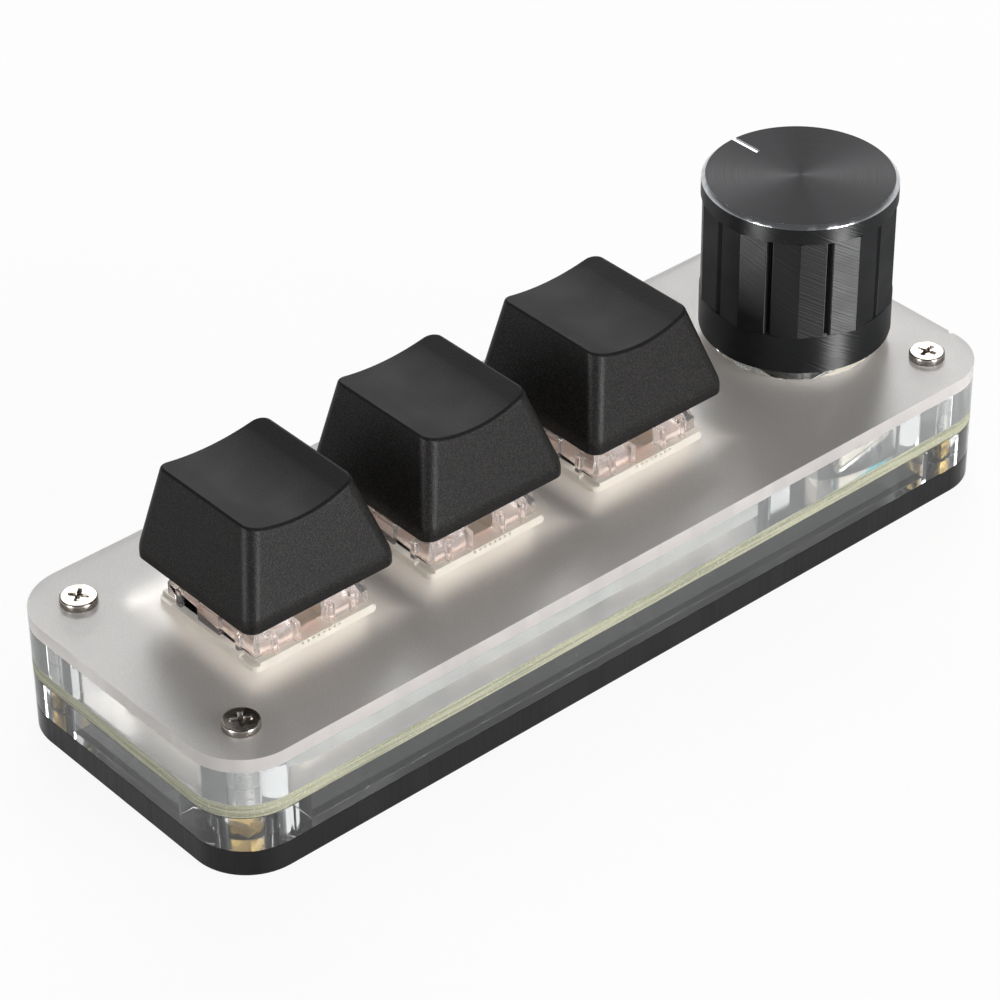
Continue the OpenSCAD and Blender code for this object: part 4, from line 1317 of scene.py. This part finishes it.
def add_lamps(stage):
    """Wide soft lamps, and two strips that show only as reflections."""
    strips = {"width": 0.17, "tall": 0.5, "rise": 14, "far": 0.6, "aim": 0.02,
              "hidden": ("diffuse", "transmission")}
    rows = (
        {"name": "back lamp", "power": stage.back_light, "width": 0.5, "tall": 0.34,
         "heading": 49, "rise": 38, "far": 0.85, "aim": 0.01, "hidden": ()},
        {"name": "front lamp", "power": stage.front_light, "width": 0.34, "tall": 0.22,
         "heading": 292, "rise": 17, "far": 0.75, "aim": 0.01, "hidden": ("glossy",)},
        {"name": "top lamp", "power": stage.top_light, "width": 0.5, "tall": 0.5,
         "heading": 229, "rise": 72, "far": 0.9, "aim": 0.0, "hidden": ("glossy",)},
        {"name": "left strip", "power": 1.2 * stage.strip_light, "heading": 180, **strips},
        {"name": "right strip", "power": 1.9 * stage.strip_light, "heading": 277, **strips},
    )
    for row in rows:
        place = towards(row["heading"], row["rise"], row["far"])
        item = lamp(row["name"], row["power"], row["width"], row["tall"], place, (0, 0, row["aim"]))
        for rays in row["hidden"]:
            setattr(item, f"visible_{rays}", False)


def add_camera(stage):
    """Camera at the photograph's viewing angle."""
    data = bpy.data.cameras.new("camera")
    data.lens = stage.lens
    data.sensor_width = 36
    camera = bpy.data.objects.new("camera", data)
    bpy.context.scene.collection.objects.link(camera)
    sight = Vector((math.cos(stage.heading) * math.cos(stage.dip),
                    math.sin(stage.heading) * math.cos(stage.dip), -math.sin(stage.dip)))
    right = sight.cross(Vector((0, 0, 1))).normalized()
    up = right.cross(sight)
    c, s = math.cos(stage.roll), math.sin(stage.roll)
    turned = Matrix((c * right + s * up, c * up - s * right, -sight)).transposed().to_4x4()
    camera.matrix_world = Matrix.Translation(stage.camera_place) @ turned
    bpy.context.scene.camera = camera


class KEYPAD_OT_stage(bpy.types.Operator):
    """Floor, lamps, world and camera"""
    bl_idname = "keypad.stage"
    bl_label = "Stage"

    def execute(self, context):
        _, colours, stage = settings()
        context.scene.view_settings.view_transform = "Standard"
        bpy.ops.object.select_all(action="DESELECT")
        bpy.ops.mesh.primitive_plane_add(size=6, location=(0, 0, -0.02 * MM))
        floor = settle(context.active_object)
        floor.name = "floor"
        floor.data.materials.append(floor_finish(colours))
        context.scene.world = studio()
        add_lamps(stage)
        add_camera(stage)
        return {"FINISHED"}


STEPS = (
    KEYPAD_OT_base, KEYPAD_OT_spacer, KEYPAD_OT_board, KEYPAD_OT_clear_frame, KEYPAD_OT_top,
    KEYPAD_OT_standoffs, KEYPAD_OT_screws, KEYPAD_OT_housings, KEYPAD_OT_covers,
    KEYPAD_OT_inner_parts, KEYPAD_OT_keycaps, KEYPAD_OT_encoder, KEYPAD_OT_knob,
    KEYPAD_OT_underside, KEYPAD_OT_stage,
)


class KEYPAD_PT_panel(bpy.types.Panel):
    """Lists the keypad's settings and steps"""
    bl_idname = "KEYPAD_PT_panel"
    bl_label = "Macro keypad"
    bl_space_type = "VIEW_3D"
    bl_region_type = "UI"
    bl_category = "Keypad"

    def draw(self, context):
        column = self.layout.column()
        for group in settings():
            for name in group.bl_rna.properties.keys():
                if name not in ("rna_type", "name"):
                    column.prop(group, name)
        for step in STEPS:
            column.operator(step.bl_idname)


GROUPS = {"keypad_sizes": KeypadSizes, "keypad_colours": KeypadColours, "keypad_stage": KeypadStage}


def register():
    for group in GROUPS.values():
        bpy.utils.register_class(group)
    for name, group in GROUPS.items():
        setattr(bpy.types.Scene, name, bpy.props.PointerProperty(type=group))
    for step in STEPS:
        bpy.utils.register_class(step)
    bpy.utils.register_class(KEYPAD_PT_panel)


def unregister():
    bpy.utils.unregister_class(KEYPAD_PT_panel)
    for step in reversed(STEPS):
        bpy.utils.unregister_class(step)
    for name, group in GROUPS.items():
        delattr(bpy.types.Scene, name)
        bpy.utils.unregister_class(group)


def main():
    register()
    EFFECTS.update({"fine grain": make_grain(), "laser streaks": make_streaks(),
                    "smudge": make_smudge(), "level mask": make_flat(),
                    "turned rings": make_turning()})
    for step in STEPS:
        area, name = step.bl_idname.split(".")
        result = getattr(getattr(bpy.ops, area), name)()
        if result != {"FINISHED"}:
            raise RuntimeError(f"{step.bl_label} did not finish")


if __name__ == "__main__":
    main()
